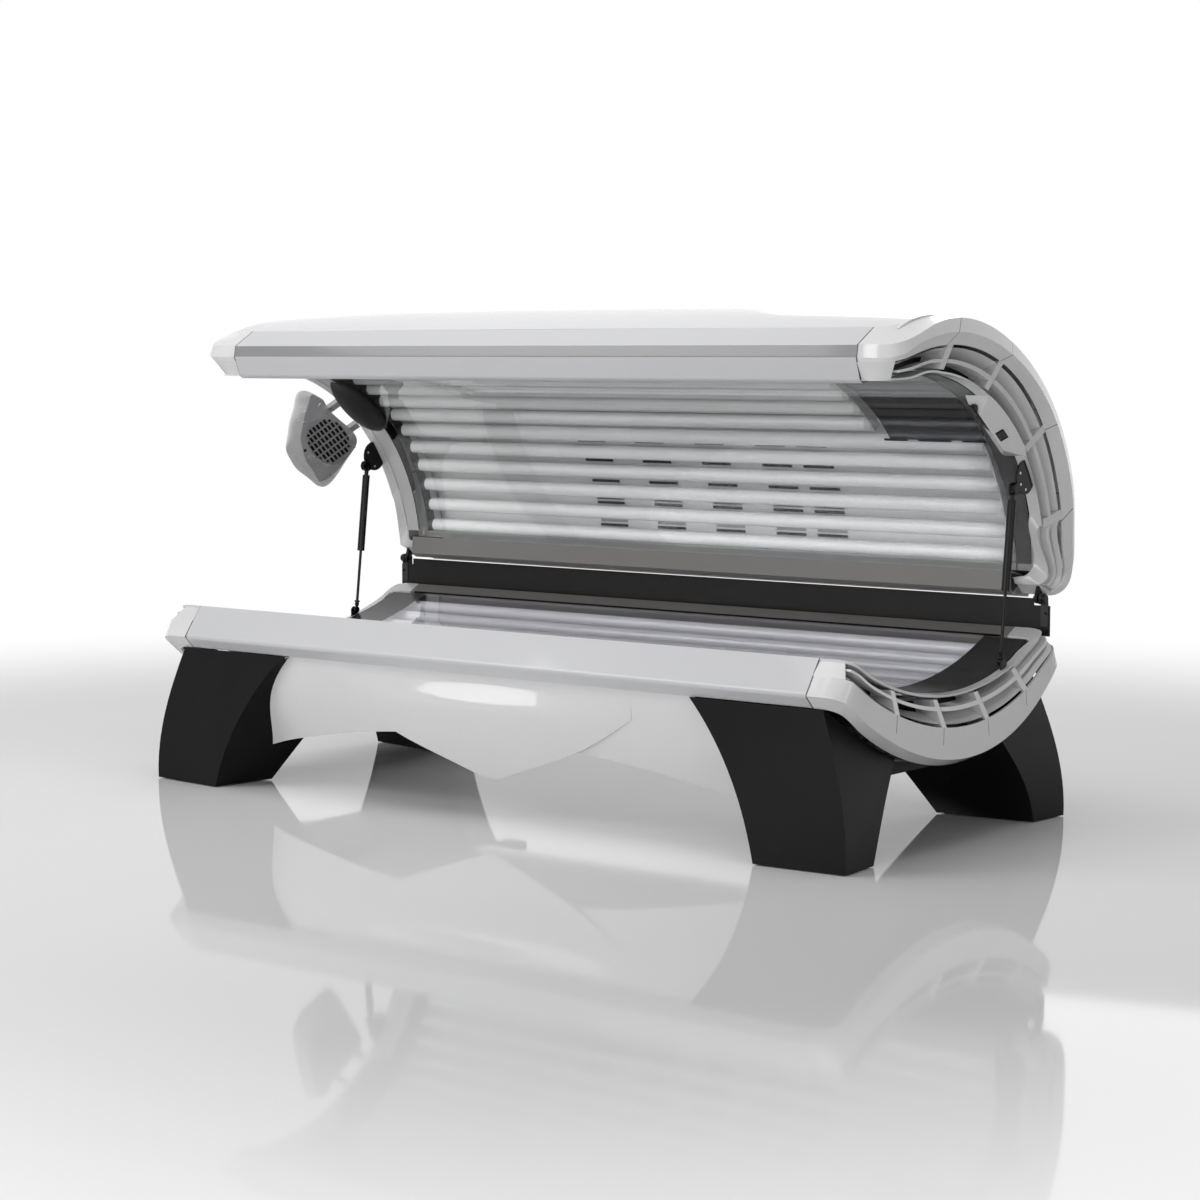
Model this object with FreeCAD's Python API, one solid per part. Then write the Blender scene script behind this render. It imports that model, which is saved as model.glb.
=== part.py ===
"""Clamshell tanning bed.

Millimetres. X runs along the bed (head end at +X), Y from front to back, Z up from the floor.
The canopy is drawn closed over the bench and then swung open about its hinge.
"""
import FreeCAD, Part
import math
import os

V = FreeCAD.Vector
X_AXIS = V(1, 0, 0)
Y_AXIS = V(0, 1, 0)

# --- driving dimensions -------------------------------------------------------------------
FRAME_SHIFT = V(86, -23.1, 0)   # moves the middle of the standing outline to the origin
RAIL_HALF = 1000                # rails reach from cap joint to cap joint
HINGE_Y = 452
HINGE_Z = 546
OPEN_ANGLE = 37                 # canopy swing between closed and open
GAP = 0.5                       # play between pieces that are fitted by hand

BENCH_R = 900                   # lying surface, seen from the end
BENCH_CZ = 360 + BENCH_R        # its lowest line is 360 above the floor
BENCH_HALF_ANGLE = 26.2
PANEL_INNER = 938               # inner edge of the dark end panels of the bench
PANEL_HALF_ANGLE = 25.7         # they stop short of the turned rim
BELLY_R = 712                   # underside of the base
BELLY_CZ = 191 + BELLY_R
TUNNEL_R = 550                  # canopy acrylic, closed position
TUNNEL_CZ = 218
TUNNEL_FRONT = -50.5            # its front and rear edges, degrees from the top
TUNNEL_REAR = 47
TUNNEL_PANEL = 45.2             # its dark end panels reach this far front and rear
ACRYLIC_T = 5

NOSE_TOP = (438, 473)           # base rail section: top edge, nose and lower edge
NOSE_TIP = (494, 393)
NOSE_LOW = (463, 362)

LAMP_R = 19
LAMP_PITCH = 6.25               # degrees between canopy lamps
BENCH_LAMP_PITCH = 4
CANOPY_LAMP_RING = TUNNEL_R + ACRYLIC_T + 6 + LAMP_R
BENCH_LAMP_RING = BENCH_R + ACRYLIC_T + 8 + LAMP_R
CANOPY_REFLECTOR_R = CANOPY_LAMP_RING + LAMP_R + 8
BENCH_REFLECTOR_R = BENCH_LAMP_RING + LAMP_R + 8
LAMP_END = 975                  # lamps reach from -LAMP_END to LAMP_END
SHORT_LAMP_END = 655            # the middle canopy lamps stop here, at the facial tanner
SOCKET = 22                     # length of a lamp holder
LONG_ROWS = (-7, -6, -5, -4, -3, 2, 3, 4, 5, 6, 7)
SHORT_ROWS = (-2, -1, 0, 1)
FILTER_X = (720, 990)
FILTER_ANGLES = (-18.6, 9.4)

SHELL_Z = 583                   # height of the canopy shell's widest line
SHELL_FRONT = 508
SHELL_REAR = 494
SHELL_POWER = 1.85              # below 2 it is flatter at the shoulders than an ellipse
SHELL_RISE = ((-1064, 329.2), (-700, 360), (0, 371), (700, 360), (1064, 329.2))
SHELL_EDGE_Z = 669              # its front edge stands on the front rail
SHELL_T = 4

STRUT_X = 1070
STRUT_LOW = (244, 407)          # lower pivot
STRUT_TOP = (293, 824)          # upper pivot, canopy open
STRUT_TOP_CLOSED = (157.7, 672.3)
STRUT_BODY = (172, 408)         # where the cylinder starts and ends along the strut
STRUT_ROD_END = 232

POD_ORIGIN = V(-1120, 240, 953)  # fan pod: middle of its upper face edge, canopy open
POD_ACROSS = V(-0.602, -0.553, -0.577)
POD_ALONG = V(0, 0.722, -0.692)
POD_NORMAL = V(0.799, -0.416, -0.435)
POD_FAN = (64, 30)              # fan axis on the face
GRILLE = (58, 86)               # half width and half length of its oval
ROTOR_R = 48

CONSOLE_KEYS = (-84, -62, -40, -18)  # key positions along the control pod
KEY_PROUD = 1.2

made = {}


# --- helpers ------------------------------------------------------------------------------
def rad(deg):
    return math.radians(deg)


def outline(points, radii=None):
    """Closed wire in the YZ plane; a corner that is given a radius becomes a tangent arc."""
    radii = radii or {}
    corners = [V(0, y, z) for y, z in points]
    ends = []
    edges = []
    for i, p in enumerate(corners):
        r = radii.get(i, 0)
        if not r:
            ends.append((p, p))
            continue
        a = (corners[i - 1] - p).normalize()
        b = (corners[(i + 1) % len(corners)] - p).normalize()
        half = a.getAngle(b) / 2
        back = r / math.tan(half)
        middle = p + (a + b).normalize() * (r / math.sin(half) - r)
        ends.append((p + a * back, p + b * back))
        edges.append(Part.Arc(p + a * back, middle, p + b * back).toShape())
    for i, (enter, leave) in enumerate(ends):
        following = ends[(i + 1) % len(ends)][0]
        if leave.distanceToPoint(following) > 0.01:
            edges.append(Part.LineSegment(leave, following).toShape())
    return Part.Wire(Part.__sortEdges__(edges))


def bar(points, x0, x1, radii=None):
    """Prism along X over a YZ outline."""
    face = Part.Face(outline(points, radii))
    face.translate(V(x0, 0, 0))
    return face.extrude(V(x1 - x0, 0, 0))


def box(x0, x1, y0, y1, z0, z1):
    return Part.makeBox(x1 - x0, y1 - y0, z1 - z0, V(x0, y0, z0))


def rod(p, q, r):
    return Part.makeCylinder(r, p.distanceToPoint(q), p, q - p)


def pin(x0, x1, y, z, r):
    return rod(V(x0, y, z), V(x1, y, z), r)


def on_ring(cz, r, deg, side, x=0):
    """Point at an angle from the vertical; side -1 hangs below the centre, 1 stands above."""
    return V(x, r * math.sin(rad(deg)), cz + side * r * math.cos(rad(deg)))


def arc_plate(cz, r0, r1, a0, a1, x0, x1, side):
    mid = (a0 + a1) / 2
    inner = Part.Arc(*[on_ring(cz, r0, a, side, x0) for a in (a0, mid, a1)]).toShape()
    outer = Part.Arc(*[on_ring(cz, r1, a, side, x0) for a in (a0, mid, a1)]).toShape()
    ends = [Part.LineSegment(on_ring(cz, r0, a, side, x0), on_ring(cz, r1, a, side, x0)).toShape()
            for a in (a0, a1)]
    face = Part.Face(Part.Wire(Part.__sortEdges__([inner, outer] + ends)))
    return face.extrude(V(x1 - x0, 0, 0))


def spline(points):
    curve = Part.BSplineCurve()
    curve.interpolate(points)
    return curve.toShape()


def closed_by_lines(edges):
    """Closed wire from open curves, each joined to the next by a straight line."""
    lines = []
    for i, edge in enumerate(edges):
        a = edge.Vertexes[-1].Point
        b = edges[(i + 1) % len(edges)].Vertexes[0].Point
        if a.distanceToPoint(b) > 0.01:
            lines.append(Part.LineSegment(a, b).toShape())
    return Part.Wire(Part.__sortEdges__(list(edges) + lines))


def place(shape, origin, x_dir, z_dir):
    """Local X and Z turned to the given directions."""
    out = shape.copy()
    turn = FreeCAD.Placement(origin, FreeCAD.Rotation(x_dir, V(0, 0, 0), z_dir, "ZXY"))
    out.Placement = turn.multiply(out.Placement)
    return out


def mirror_x(shape):
    return shape.mirror(V(0, 0, 0), X_AXIS)


def mirror_y(shape):
    return shape.mirror(V(0, 0, 0), Y_AXIS)


def both_ends(shape):
    return Part.makeCompound([shape, mirror_x(shape)])


def fuse(shapes):
    shapes = list(shapes)
    return shapes[0].fuse(shapes[1:]).removeSplitter()


def largest(shape):
    return max(shape.Solids, key=lambda s: s.Volume)


def swing_open(shape):
    out = shape.copy()
    out.rotate(V(0, HINGE_Y, HINGE_Z), X_AXIS, -OPEN_ANGLE)
    return out


def keep(name, shape):
    made[name] = shape


def keep_canopy(name, shape):
    made[name] = swing_open(shape)


# --- lines that run round an end ----------------------------------------------------------
class EndLine:
    """A line along the front rail, round the corner, over the end and back along the rear rail.

    middle is (x, z) on the centre line, corner (x, y, z) where the end arc meets the corner,
    front and rear (y, z) on the rails. The arc rises as a mix of u squared and u to the sixth.
    """
    ARC = 0.80
    BEND = 0.90
    TURN_X = 45

    def __init__(self, middle, corner, front, rear=None, round_share=0.93, rear_corner_x=None):
        self.middle = middle
        self.corner = corner
        self.front = front
        self.rear = rear or front
        self.round_share = round_share
        self.rear_corner_x = rear_corner_x or corner[0]

    def point(self, u):
        side = -1 if u < 0 else 1
        rail_y, rail_z = self.front if u < 0 else self.rear
        xc, yc, zc = self.corner
        if u > 0:
            xc = self.rear_corner_x
        u = abs(u)
        if u <= self.ARC:
            f = u / self.ARC
            rise = self.round_share * f ** 2 + (1 - self.round_share) * f ** 6
            x = self.middle[0] + (xc - self.middle[0]) * f ** 2
            return V(x, side * yc * f, self.middle[1] + (zc - self.middle[1]) * rise)
        if u <= self.BEND:
            a = (u - self.ARC) / (self.BEND - self.ARC) * math.pi / 2
            return V(xc - self.TURN_X * (1 - math.cos(a)), side * (yc + (rail_y - yc) * math.sin(a)),
                     zc + (rail_z - zc) * math.sin(a))
        f = (u - self.BEND) / (1 - self.BEND)
        x_bend = xc - self.TURN_X
        return V(x_bend + (RAIL_HALF - x_bend) * f, side * rail_y, rail_z)

    def inset(self, depth, lift, flank=(0, 0)):
        """The same line moved inboard by depth, its middle by lift and its sides by flank (y, z)."""
        dy, dz = flank
        return EndLine((self.middle[0] - depth, self.middle[1] + lift),
                       (self.corner[0] - depth, self.corner[1] - dy, self.corner[2] + dz),
                       (self.front[0] - dy, self.front[1] + dz), (self.rear[0] - dy, self.rear[1] + dz),
                       self.round_share, self.rear_corner_x - depth)

    def toward(self, other, share, depth=0.0):
        """The line a share of the way to another one, moved inboard by depth."""
        def part(a, b):
            return tuple(p + (q - p) * share for p, q in zip(a, b))
        x, z = part(self.middle, other.middle)
        xc, yc, zc = part(self.corner, other.corner)
        kept, = part((self.round_share,), (other.round_share,))
        rear_x, = part((self.rear_corner_x,), (other.rear_corner_x,))
        return EndLine((x - depth, z), (xc - depth, yc, zc), part(self.front, other.front),
                       part(self.rear, other.rear), kept, rear_x - depth)

    def edge(self, u0, u1):
        half = (0.2, 0.4, 0.6, 0.72, 0.8, 0.83, 0.87, 0.9, 0.95)
        marks = [-m for m in reversed(half)] + [0] + list(half)
        inside = [m for m in marks if u0 + 0.02 < m < u1 - 0.02]
        if not inside:
            inside = [(u0 + u1) / 2]
        return spline([self.point(u) for u in [u0] + inside + [u1]])


def end_faces(corners):
    """One flat face over a ring of points, or triangles from its middle where it isn't flat."""
    if max(c.x for c in corners) - min(c.x for c in corners) < 0.001:
        return [Part.Face(Part.makePolygon(corners + corners[:1]))]
    middle = sum(corners[1:], corners[0]) * (1.0 / len(corners))
    rings = zip(corners, corners[1:] + corners[:1])
    return [Part.Face(Part.makePolygon([a, b, middle, a])) for a, b in rings]


def ribbon(lines, u0=-1.0, u1=1.0):
    """Solid whose section is the polygon through the given lines, between two stations."""
    edges = [line.edge(u0, u1) for line in lines]
    faces = [Part.makeRuledSurface(a, b) for a, b in zip(edges, edges[1:] + edges[:1])]
    for end in (0, 1):
        faces += end_faces([e.Vertexes[end].Point for e in edges])
    shell = Part.makeShell(faces)
    shell.sewShape()
    solid = Part.makeSolid(shell)
    if solid.Volume < 0:
        solid.reverse()
    return solid


# base: seen from the end, the lines are nested arcs with their low point on the centre line
BASE_RIM_IN = EndLine((1075, 360), (1062, 395, 451.5), (400, 454))
BASE_RIM_OUT = EndLine((1090, 357), (1086, 415, 461), NOSE_TOP)
BASE_FIELD = EndLine((1122, 283), (1103, 447, 421), (464, 436))
BASE_CREASE = EndLine((1126, 208), (1101, 465, 373), NOSE_TIP)
BASE_BOTTOM = EndLine((1090, 191), (1070, 437, 343), NOSE_LOW)

# canopy, closed: the same with the high point on the centre line
CANOPY_RIM_IN = EndLine((1060, 768), (1050, 395, 600.7), (428, 563), (405, 566), 0.87, 1046)
CANOPY_RIM_OUT = EndLine((1090, 768), (1092, 418, 575), (460, 539), (416, 562), 0.87, 1078)
CANOPY_FIELD = EndLine((1110, 855), (1114, 464, 607), (497, 563), (462, 564), 0.9, 1098)
CANOPY_LIP = EndLine((1140, 869), (1124, 480, 619), (506, 569), (482, 574), 0.75, 1106)
CANOPY_CREASE = EndLine((1122, 907), (1119, 484, 648), (520, 596), (497, 606), 0.7, 1100)
CANOPY_SEAM = EndLine((1058, 918), (1052, 470, 694), (491, 667), (493, 646), 0.78, 1048)

BASE_CAP = (BASE_FIELD, BASE_CREASE, BASE_BOTTOM)
CANOPY_CAP = (CANOPY_FIELD, CANOPY_LIP, CANOPY_CREASE, CANOPY_SEAM)
BASE_RIBS = (-0.52, -0.175, 0.175, 0.52)
CANOPY_RIBS = (-0.595, -0.23, 0.23, 0.595)
RIB_WIDTH = 0.034               # in stations
LOUVRE_END = 0.86               # the louvres stop here, a plain band goes on along the rails
LOUVRE_DEPTH = 60
PLAY = 0.0015                   # between a rib and the pieces that end on it, in stations
END_PLAY = 0.022                # between the end bays and the bands
CLOSED_BAY = 4                  # the rearmost bay is shallow and closed by a plate
CLOSED_DEPTH = 20


def bay_pieces(rim_out, field, u0, u1, closed):
    """Vane, scoop and, in the closed bay, the plate behind them, between two stations."""
    reach = CLOSED_DEPTH - 3 if closed else 42
    vane = [field.toward(rim_out, 0.50, 1), field.toward(rim_out, 0.63, 1),
            field.toward(rim_out, 0.66, reach), field.toward(rim_out, 0.60, reach)]
    share, reach = (0.25, CLOSED_DEPTH - 3) if closed else (0.42, 52)
    scoop = [field.toward(rim_out, 0.10, 3), field.toward(rim_out, share, reach - 6),
             field.toward(rim_out, share, reach), field.toward(rim_out, 0.10, 9)]
    pieces = [ribbon(vane, u0, u1), ribbon(scoop, u0, u1)]
    if closed:
        near, far = [rim_out.toward(field, share, CLOSED_DEPTH) for share in (0.25, 0.90)]
        plate = [near, far, far.inset(4, 0), near.inset(4, 0)]
        pieces.append(ribbon(plate, u0, u1 - END_PLAY / 2))
    return pieces


def louvre(rim_in, rim_out, field, ribs, inward):
    """Rim, ribs, vanes and scoops of one end; inward is the sign of z towards the lying space."""
    under = -6 * inward
    root = rim_out.inset(2, under, (0, under))
    foot = rim_out.toward(field, 0.14, 3)
    inner_root = rim_in.inset(2, under, (0, under))
    back_rim = rim_out.toward(field, 0.20, LOUVRE_DEPTH)
    back_field = field.toward(rim_out, 0.08, LOUVRE_DEPTH)
    stops = [-LOUVRE_END + END_PLAY]
    pieces = []
    for u in ribs:
        a, b = u - RIB_WIDTH / 2, u + RIB_WIDTH / 2
        pieces.append(ribbon([foot, field, back_field, back_rim], a, b))
        stops += [a - PLAY, b + PLAY]
    stops.append(LOUVRE_END - END_PLAY)
    bays = list(zip(stops[::2], stops[1::2]))
    for k, (a, b) in enumerate(bays):
        pieces += bay_pieces(rim_out, field, a, b, k == CLOSED_BAY)
    for a, b in ((-1.0, -LOUVRE_END), (LOUVRE_END, 1.0)):
        pieces.append(ribbon([root, field, field.inset(5, 0, (4, 2)), root.inset(5, 0, (0, under))], a, b))
    joints = [-1.0, -LOUVRE_END] + list(ribs) + [LOUVRE_END, 1.0]
    for a, b in zip(joints, joints[1:]):
        pieces.append(ribbon([rim_in, rim_out, root, inner_root], a, b))
    return Part.makeCompound(pieces)


def louvre_filter(rim_out, field, ribs):
    """Black filter sheet behind the open bays."""
    near, far = [rim_out.toward(field, share, LOUVRE_DEPTH + 2) for share in (0.25, 0.88)]
    return ribbon([near, far, far.inset(3, 0), near.inset(3, 0)], END_PLAY - LOUVRE_END, ribs[-1])


def mitred(points, t):
    """The corners of an open polyline moved to its left by t."""
    normals = []
    for (y0, z0), (y1, z1) in zip(points, points[1:]):
        length = math.hypot(y1 - y0, z1 - z0)
        normals.append(((z0 - z1) / length, (y1 - y0) / length))
    moved = []
    for i, (y, z) in enumerate(points):
        near = normals[max(i - 1, 0):i + 1]
        sy = sum(n[0] for n in near)
        sz = sum(n[1] for n in near)
        k = t * len(near) / (sy ** 2 + sz ** 2)
        moved.append((y + k * sy, z + k * sz))
    return moved


CAP_T = 5


def inner_lines(lines, side):
    """Inner face of a cap; side is 1 where its inside is to the left of the lines, else -1."""
    t = CAP_T * side
    middles = mitred([line.middle for line in lines], t)
    corners = mitred([line.corner[1:] for line in lines], t)
    fronts = mitred([line.front for line in lines], t)
    rears = mitred([line.rear for line in lines], t)
    inner = []
    for line, middle, (yc, zc), front, rear in zip(lines, middles, corners, fronts, rears):
        inner.append(EndLine(middle, (line.corner[0] - CAP_T, yc, zc), front, rear, line.round_share,
                             line.rear_corner_x - CAP_T))
    return inner


def arched_mask(x_start, x_middle, x_side, half=520):
    """Tall prism whose far edge bows out in the middle, to trim a sheet under a rim."""
    arc = Part.Arc(V(x_side, -half, 0), V(x_middle, 0, 0), V(x_side, half, 0)).toShape()
    back = spline([V(x_start, half, 0), V(x_start, 0, 0), V(x_start, -half, 0)])
    return Part.Face(closed_by_lines([arc, back])).extrude(V(0, 0, 1000))


# --- base ---------------------------------------------------------------------------------
RAIL_OUTER = [NOSE_TOP, NOSE_TIP, NOSE_LOW, (440, 364), (402, 440), (400, 453.8)]
RAIL_INNER = [(437, 466), (487, 394), (461, 368), (444, 370), (407, 441), (406, 454)]


def base_rail():
    rail = bar(RAIL_OUTER, -RAIL_HALF, RAIL_HALF, {1: 10, 2: 6})
    return rail.cut(bar(RAIL_INNER, -RAIL_HALF - 1, RAIL_HALF + 1, {1: 7, 2: 4}))


def leg_foot(wall=0, z_low=0):
    """Tapering foot under the front of the right end; wall draws every side inwards."""
    sections = [
        (3, (1112, -495), (872, -512), (844, -330), (1100, -363)),
        (120, (1104, -492), (833, -503), (742, -312), (1094, -314)),
        (240, (1074, -482), (765, -487), (662, -255), (1070, -224)),
        (370, (1026, -466), (650, -466), (600, -150), (1046, -100)),
    ]
    wires = []
    for z, (ax, ay), (bx, by), (cx, cy), (dx, dy) in sections:
        z = max(z, z_low)
        ring = [V(ax - wall, ay + wall, z), V(bx + wall, by + wall, z),
                V(cx + wall, cy - wall, z), V(dx - wall, dy - wall, z)]
        wires.append(Part.makePolygon(ring + ring[:1]))
    return Part.makeLoft(wires, True, False)


def leg_arch(cap_wedge):
    """Front and rear foot under one end, joined by a bridge that cradles the belly."""
    belly = Part.makeCylinder(BELLY_R, 600, V(600, 0, BELLY_CZ), X_AXIS)
    above = box(500, 1300, -700, 700, 361, 500)
    foot = leg_foot()
    bridge = box(680, 1030, -262, 262, 180, 260)
    bridge = bridge.cut(foot).cut(mirror_y(foot))
    hollow = foot.cut(leg_foot(8, 11))
    arch = hollow.fuse([mirror_y(hollow), bridge])
    return largest(arch.cut(belly).cut(above).cut(cap_wedge))


def leg_glides():
    pads = [Part.makeCylinder(28, 3, V(sx * 985, sy * 425, 0)) for sx in (-1, 1) for sy in (-1, 1)]
    return Part.makeCompound(pads)


FAN_DECK_Z = 245
BASE_TUBE = (200, 240, 245, 285)  # y and z of the square tubes


def base_frame():
    """Two square tubes on plates that follow the belly, with a deck for the fan."""
    y0, y1, z0, z1 = BASE_TUBE
    pieces = []
    for side in (-1, 1):
        a, b = sorted((side * y0, side * y1))
        pieces.append(box(-985, 985, a, b, z0, z1).cut(box(-990, 990, a + 3, b - 3, z0 + 3, z1 - 3)))
    for x in (-850, -300, 300, 850):
        plate = box(x - 3, x + 3, -330, 330, 190, z0 + 2)
        plate = plate.common(Part.makeCylinder(BELLY_R - 4, 60, V(x - 30, 0, BELLY_CZ), X_AXIS))
        pieces.append(plate.cut(box(x - 4, x + 4, -140, 140, 208, 236)))
    deck = box(-100, 100, -y0, y0, FAN_DECK_Z, FAN_DECK_Z + 3)
    pieces.append(deck.cut(rod(V(0, 0, FAN_DECK_Z - 5), V(0, 0, FAN_DECK_Z + 9), 80)))
    return fuse(pieces)


def skirt_section(x, push):
    """Section of the skirt at x; push bulges it forward."""
    front = [(-444, 368), (-446 - 0.3 * push, 320), (-443 - push, 285), (-432 - push, 235),
             (-408 - 0.9 * push, 170), (-378 - 0.6 * push, 85)]
    outer = spline([V(x, y, z) for y, z in front])
    inner = spline([V(x, y + 5, z) for y, z in reversed(front)])
    return closed_by_lines([outer, inner])


def skirt_mask(half_curve, half_top):
    """Prism along Y below z 368, over a smooth lower edge that is the same left and right."""
    y = -600
    left = [V(x, y, z) for x, z in half_curve]
    right = [V(-x, y, z) for x, z in reversed(half_curve) if x]
    lower = spline(left + right)
    top = spline([V(half_top, y, 368), V(0, y, 368), V(-half_top, y, 368)])
    return Part.Face(closed_by_lines([lower, top])).extrude(V(0, 400, 0))


def front_skirt(rail_solid, feet):
    wing = Part.makeLoft([skirt_section(x, 0) for x in (-860, 860)], True, True)
    wing_edge = [(-850, 92), (-790, 108), (-720, 127), (-640, 143), (-465, 172), (-297, 190), (0, 197)]
    wing = wing.common(skirt_mask(wing_edge, 700))
    stations = ((-474, 2), (-320, 12), (-160, 22), (0, 26), (160, 22), (320, 12), (474, 2))
    leaf = Part.makeLoft([skirt_section(x, push) for x, push in stations], True, False)
    leaf_edge = [(-474, 289), (-392, 240), (-289, 189), (-187, 152), (-86, 118), (0, 97)]
    leaf = leaf.common(skirt_mask(leaf_edge, 474))
    skirt = wing.fuse(leaf).cut(rail_solid)
    for foot in feet:
        skirt = skirt.cut(foot)
    return largest(skirt)


def lamp_row(cz, ring, rows, pitch, x0, x1, side):
    """Glass tubes in a row round a ring."""
    tubes = []
    for k in rows:
        a, b = on_ring(cz, ring, pitch * k, side, x0), on_ring(cz, ring, pitch * k, side, x1)
        tubes.append(rod(a, b, LAMP_R).cut(rod(a, b, LAMP_R - 1)))
    return Part.makeCompound(tubes)


def holder_comb(cz, ring, rows, pitch, x_lamp, direction, side):
    """Plate across a run of lamp ends with one round socket for each lamp."""
    far = x_lamp + direction * (SOCKET - 4)
    low, high = sorted((far, far + 4 * direction))
    half = math.degrees(17 / ring)
    plate = arc_plate(cz, ring - 15, ring + 15, pitch * min(rows) - half, pitch * max(rows) + half,
                      low, high, side)
    sockets = [rod(on_ring(cz, ring, pitch * k, side, x_lamp), on_ring(cz, ring, pitch * k, side, far), LAMP_R - 0.5)
               for k in rows]
    return plate.fuse(sockets)


def fan_rotor(hub_r, tip_r, height, bore_r, blades):
    """Axial fan about local Z, its hub from z 0 to height."""
    hub = Part.makeCylinder(hub_r, height).cut(Part.makeCylinder(bore_r, height))
    pieces = [hub]
    for k in range(blades):
        blade = box(hub_r - 1, tip_r, -height * 0.45, height * 0.45, -0.8, 0.8)
        blade.rotate(V(0, 0, 0), X_AXIS, 40)
        blade.translate(V(0, 0, height / 2))
        blade.rotate(V(0, 0, 0), V(0, 0, 1), 360 * k / blades)
        pieces.append(blade)
    return fuse(pieces)


def base_fan():
    """Square fan frame with three arms that carry the fan's axle."""
    z0 = FAN_DECK_Z + 3
    frame = box(-90, 90, -90, 90, z0, z0 + 42)
    frame = frame.cut(rod(V(0, 0, z0 - 1), V(0, 0, z0 + 50), 80))
    arms = []
    for k in range(3):
        arm = box(0, 84, -4, 4, z0, z0 + 4)
        arm.rotate(V(0, 0, 0), V(0, 0, 1), 120 * k + 15)
        arms.append(arm)
    axle = Part.makeCylinder(4, 34, V(0, 0, z0))
    boss = Part.makeCylinder(18, 6, V(0, 0, z0))
    rotor = fan_rotor(24, 76, 22, 4.05, 7)
    rotor.translate(V(0, 0, z0 + 9))
    return fuse([frame, boss, axle] + arms), rotor


INLET_X = -560


def power_inlet():
    """Inlet box on the rear of the belly with a gland that faces back."""
    block = box(INLET_X - 35, INLET_X + 35, 300, 362, 232, 282)
    block = block.cut(Part.makeCylinder(BELLY_R, 200, V(INLET_X - 100, 0, BELLY_CZ), X_AXIS))
    gland = rod(V(INLET_X, 350, 257), V(INLET_X, 378, 257), 14)
    hole = rod(V(INLET_X, 345, 257), V(INLET_X, 379, 257), 7)
    return fuse([block, gland]).cut(hole)


def base_ballasts():
    """Lamp ballasts in a row along both tubes."""
    y0, y1, z0, z1 = BASE_TUBE
    blocks = []
    for k in range(-5, 6):
        if k:
            x = 165 * k
            blocks.append(box(x - 60, x + 60, y0 - 45, y0, z0 + 2, z0 + 32))
            blocks.append(box(x - 60, x + 60, -y0, 45 - y0, z0 + 2, z0 + 32))
    return Part.makeCompound(blocks)


def facet(t, off):
    """Point on the sloping face of the base rail between top edge and nose, off above it."""
    (y0, z0), (y1, z1) = NOSE_TOP, NOSE_TIP
    length = math.hypot(y1 - y0, z1 - z0)
    return (y0 + (y1 - y0) * t + (z0 - z1) / length * off, z0 + (z1 - z0) * t + (y1 - y0) / length * off)


PANEL_Y = (457, 461)            # back panel between rail and hinge
PANEL_TOP = 545
PIN_R = 6
POST_X = (1062, 1070)
ARM_X = (1050, 1058)


def rear_panel():
    """Bent sheet that stands on the rear rail, notched at its ends for the hinge."""
    y0, y1 = PANEL_Y
    plate = box(-1085, 1085, y0, y1, 452, PANEL_TOP)
    notch = box(1040, 1090, y0 - 5, y1 + 5, 528, 560)
    flange = bar([facet(0.3, 0), facet(0.78, 0), facet(0.78, 3), facet(0.37, 3), (y1, 460), (y0, 460)],
                 -RAIL_HALF, RAIL_HALF)
    return fuse([plate, flange]).cut(notch).cut(mirror_x(notch))


def hinge_post():
    """Post bolted behind the panel; its cheek holds the pin."""
    y1 = PANEL_Y[1]
    foot = box(1020, POST_X[1], y1, y1 + 5, 460, 524)
    cheek = bar([(y1, 460), (y1 + 22, 470), (y1 + 16, 545), (462, 558), (444, 558), (440, 546),
                 (443, 532), (y1, 530)], POST_X[0], POST_X[1])
    cheek = cheek.cut(box(1060, 1072, PANEL_Y[0] - 1, y1, 440, 528))
    return fuse([foot, cheek]).cut(pin(1050, 1080, HINGE_Y, HINGE_Z, PIN_R))


def hinge_pin():
    shank = pin(ARM_X[0] - 6, POST_X[1] + 2, HINGE_Y, HINGE_Z, PIN_R)
    head = pin(POST_X[1] + 0.2, POST_X[1] + 8, HINGE_Y, HINGE_Z, 10)
    return fuse([shank, head])


def strut_stud(louvre_solid):
    """Bracket on the end rim with a pin for the lower eye of the gas strut."""
    y, z = STRUT_LOW
    cheek = bar([(y - 13, z - 30), (y + 13, z - 30), (y + 13, z + 2), (y + 6, z + 9), (y - 6, z + 9),
                 (y - 13, z + 2)], STRUT_X + 6, STRUT_X + 10)
    shank = pin(STRUT_X - 5, STRUT_X + 6, y, z, 4)
    return largest(fuse([cheek, shank]).cut(louvre_solid))


def strut_pieces():
    """Rod with the lower eye, and cylinder with the upper eye, at the open length."""
    low = V(0, STRUT_LOW[0], STRUT_LOW[1])
    top = V(0, STRUT_TOP[0], STRUT_TOP[1])
    along = (top - low).normalize()
    y, z = STRUT_LOW
    eye = pin(-3.5, 3.5, y, z, 9)
    shaft = fuse([eye, rod(low + along * 6, low + along * STRUT_ROD_END, 4)]).cut(pin(-9, 9, y, z, 4.05))
    y, z = STRUT_TOP
    start, end = STRUT_BODY
    barrel = rod(low + along * start, low + along * (end - 15), 10.5)
    neck = rod(low + along * (end - 16), top - along * 12, 6)
    ring = pin(-3.5, 3.5, y, z, 16)
    bore = rod(low + along * (start - 1), low + along * (start + 205), 4.05)
    cylinder = fuse([barrel, neck, ring]).cut(bore).cut(pin(-9, 9, y, z, 11))
    return shaft, cylinder


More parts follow.
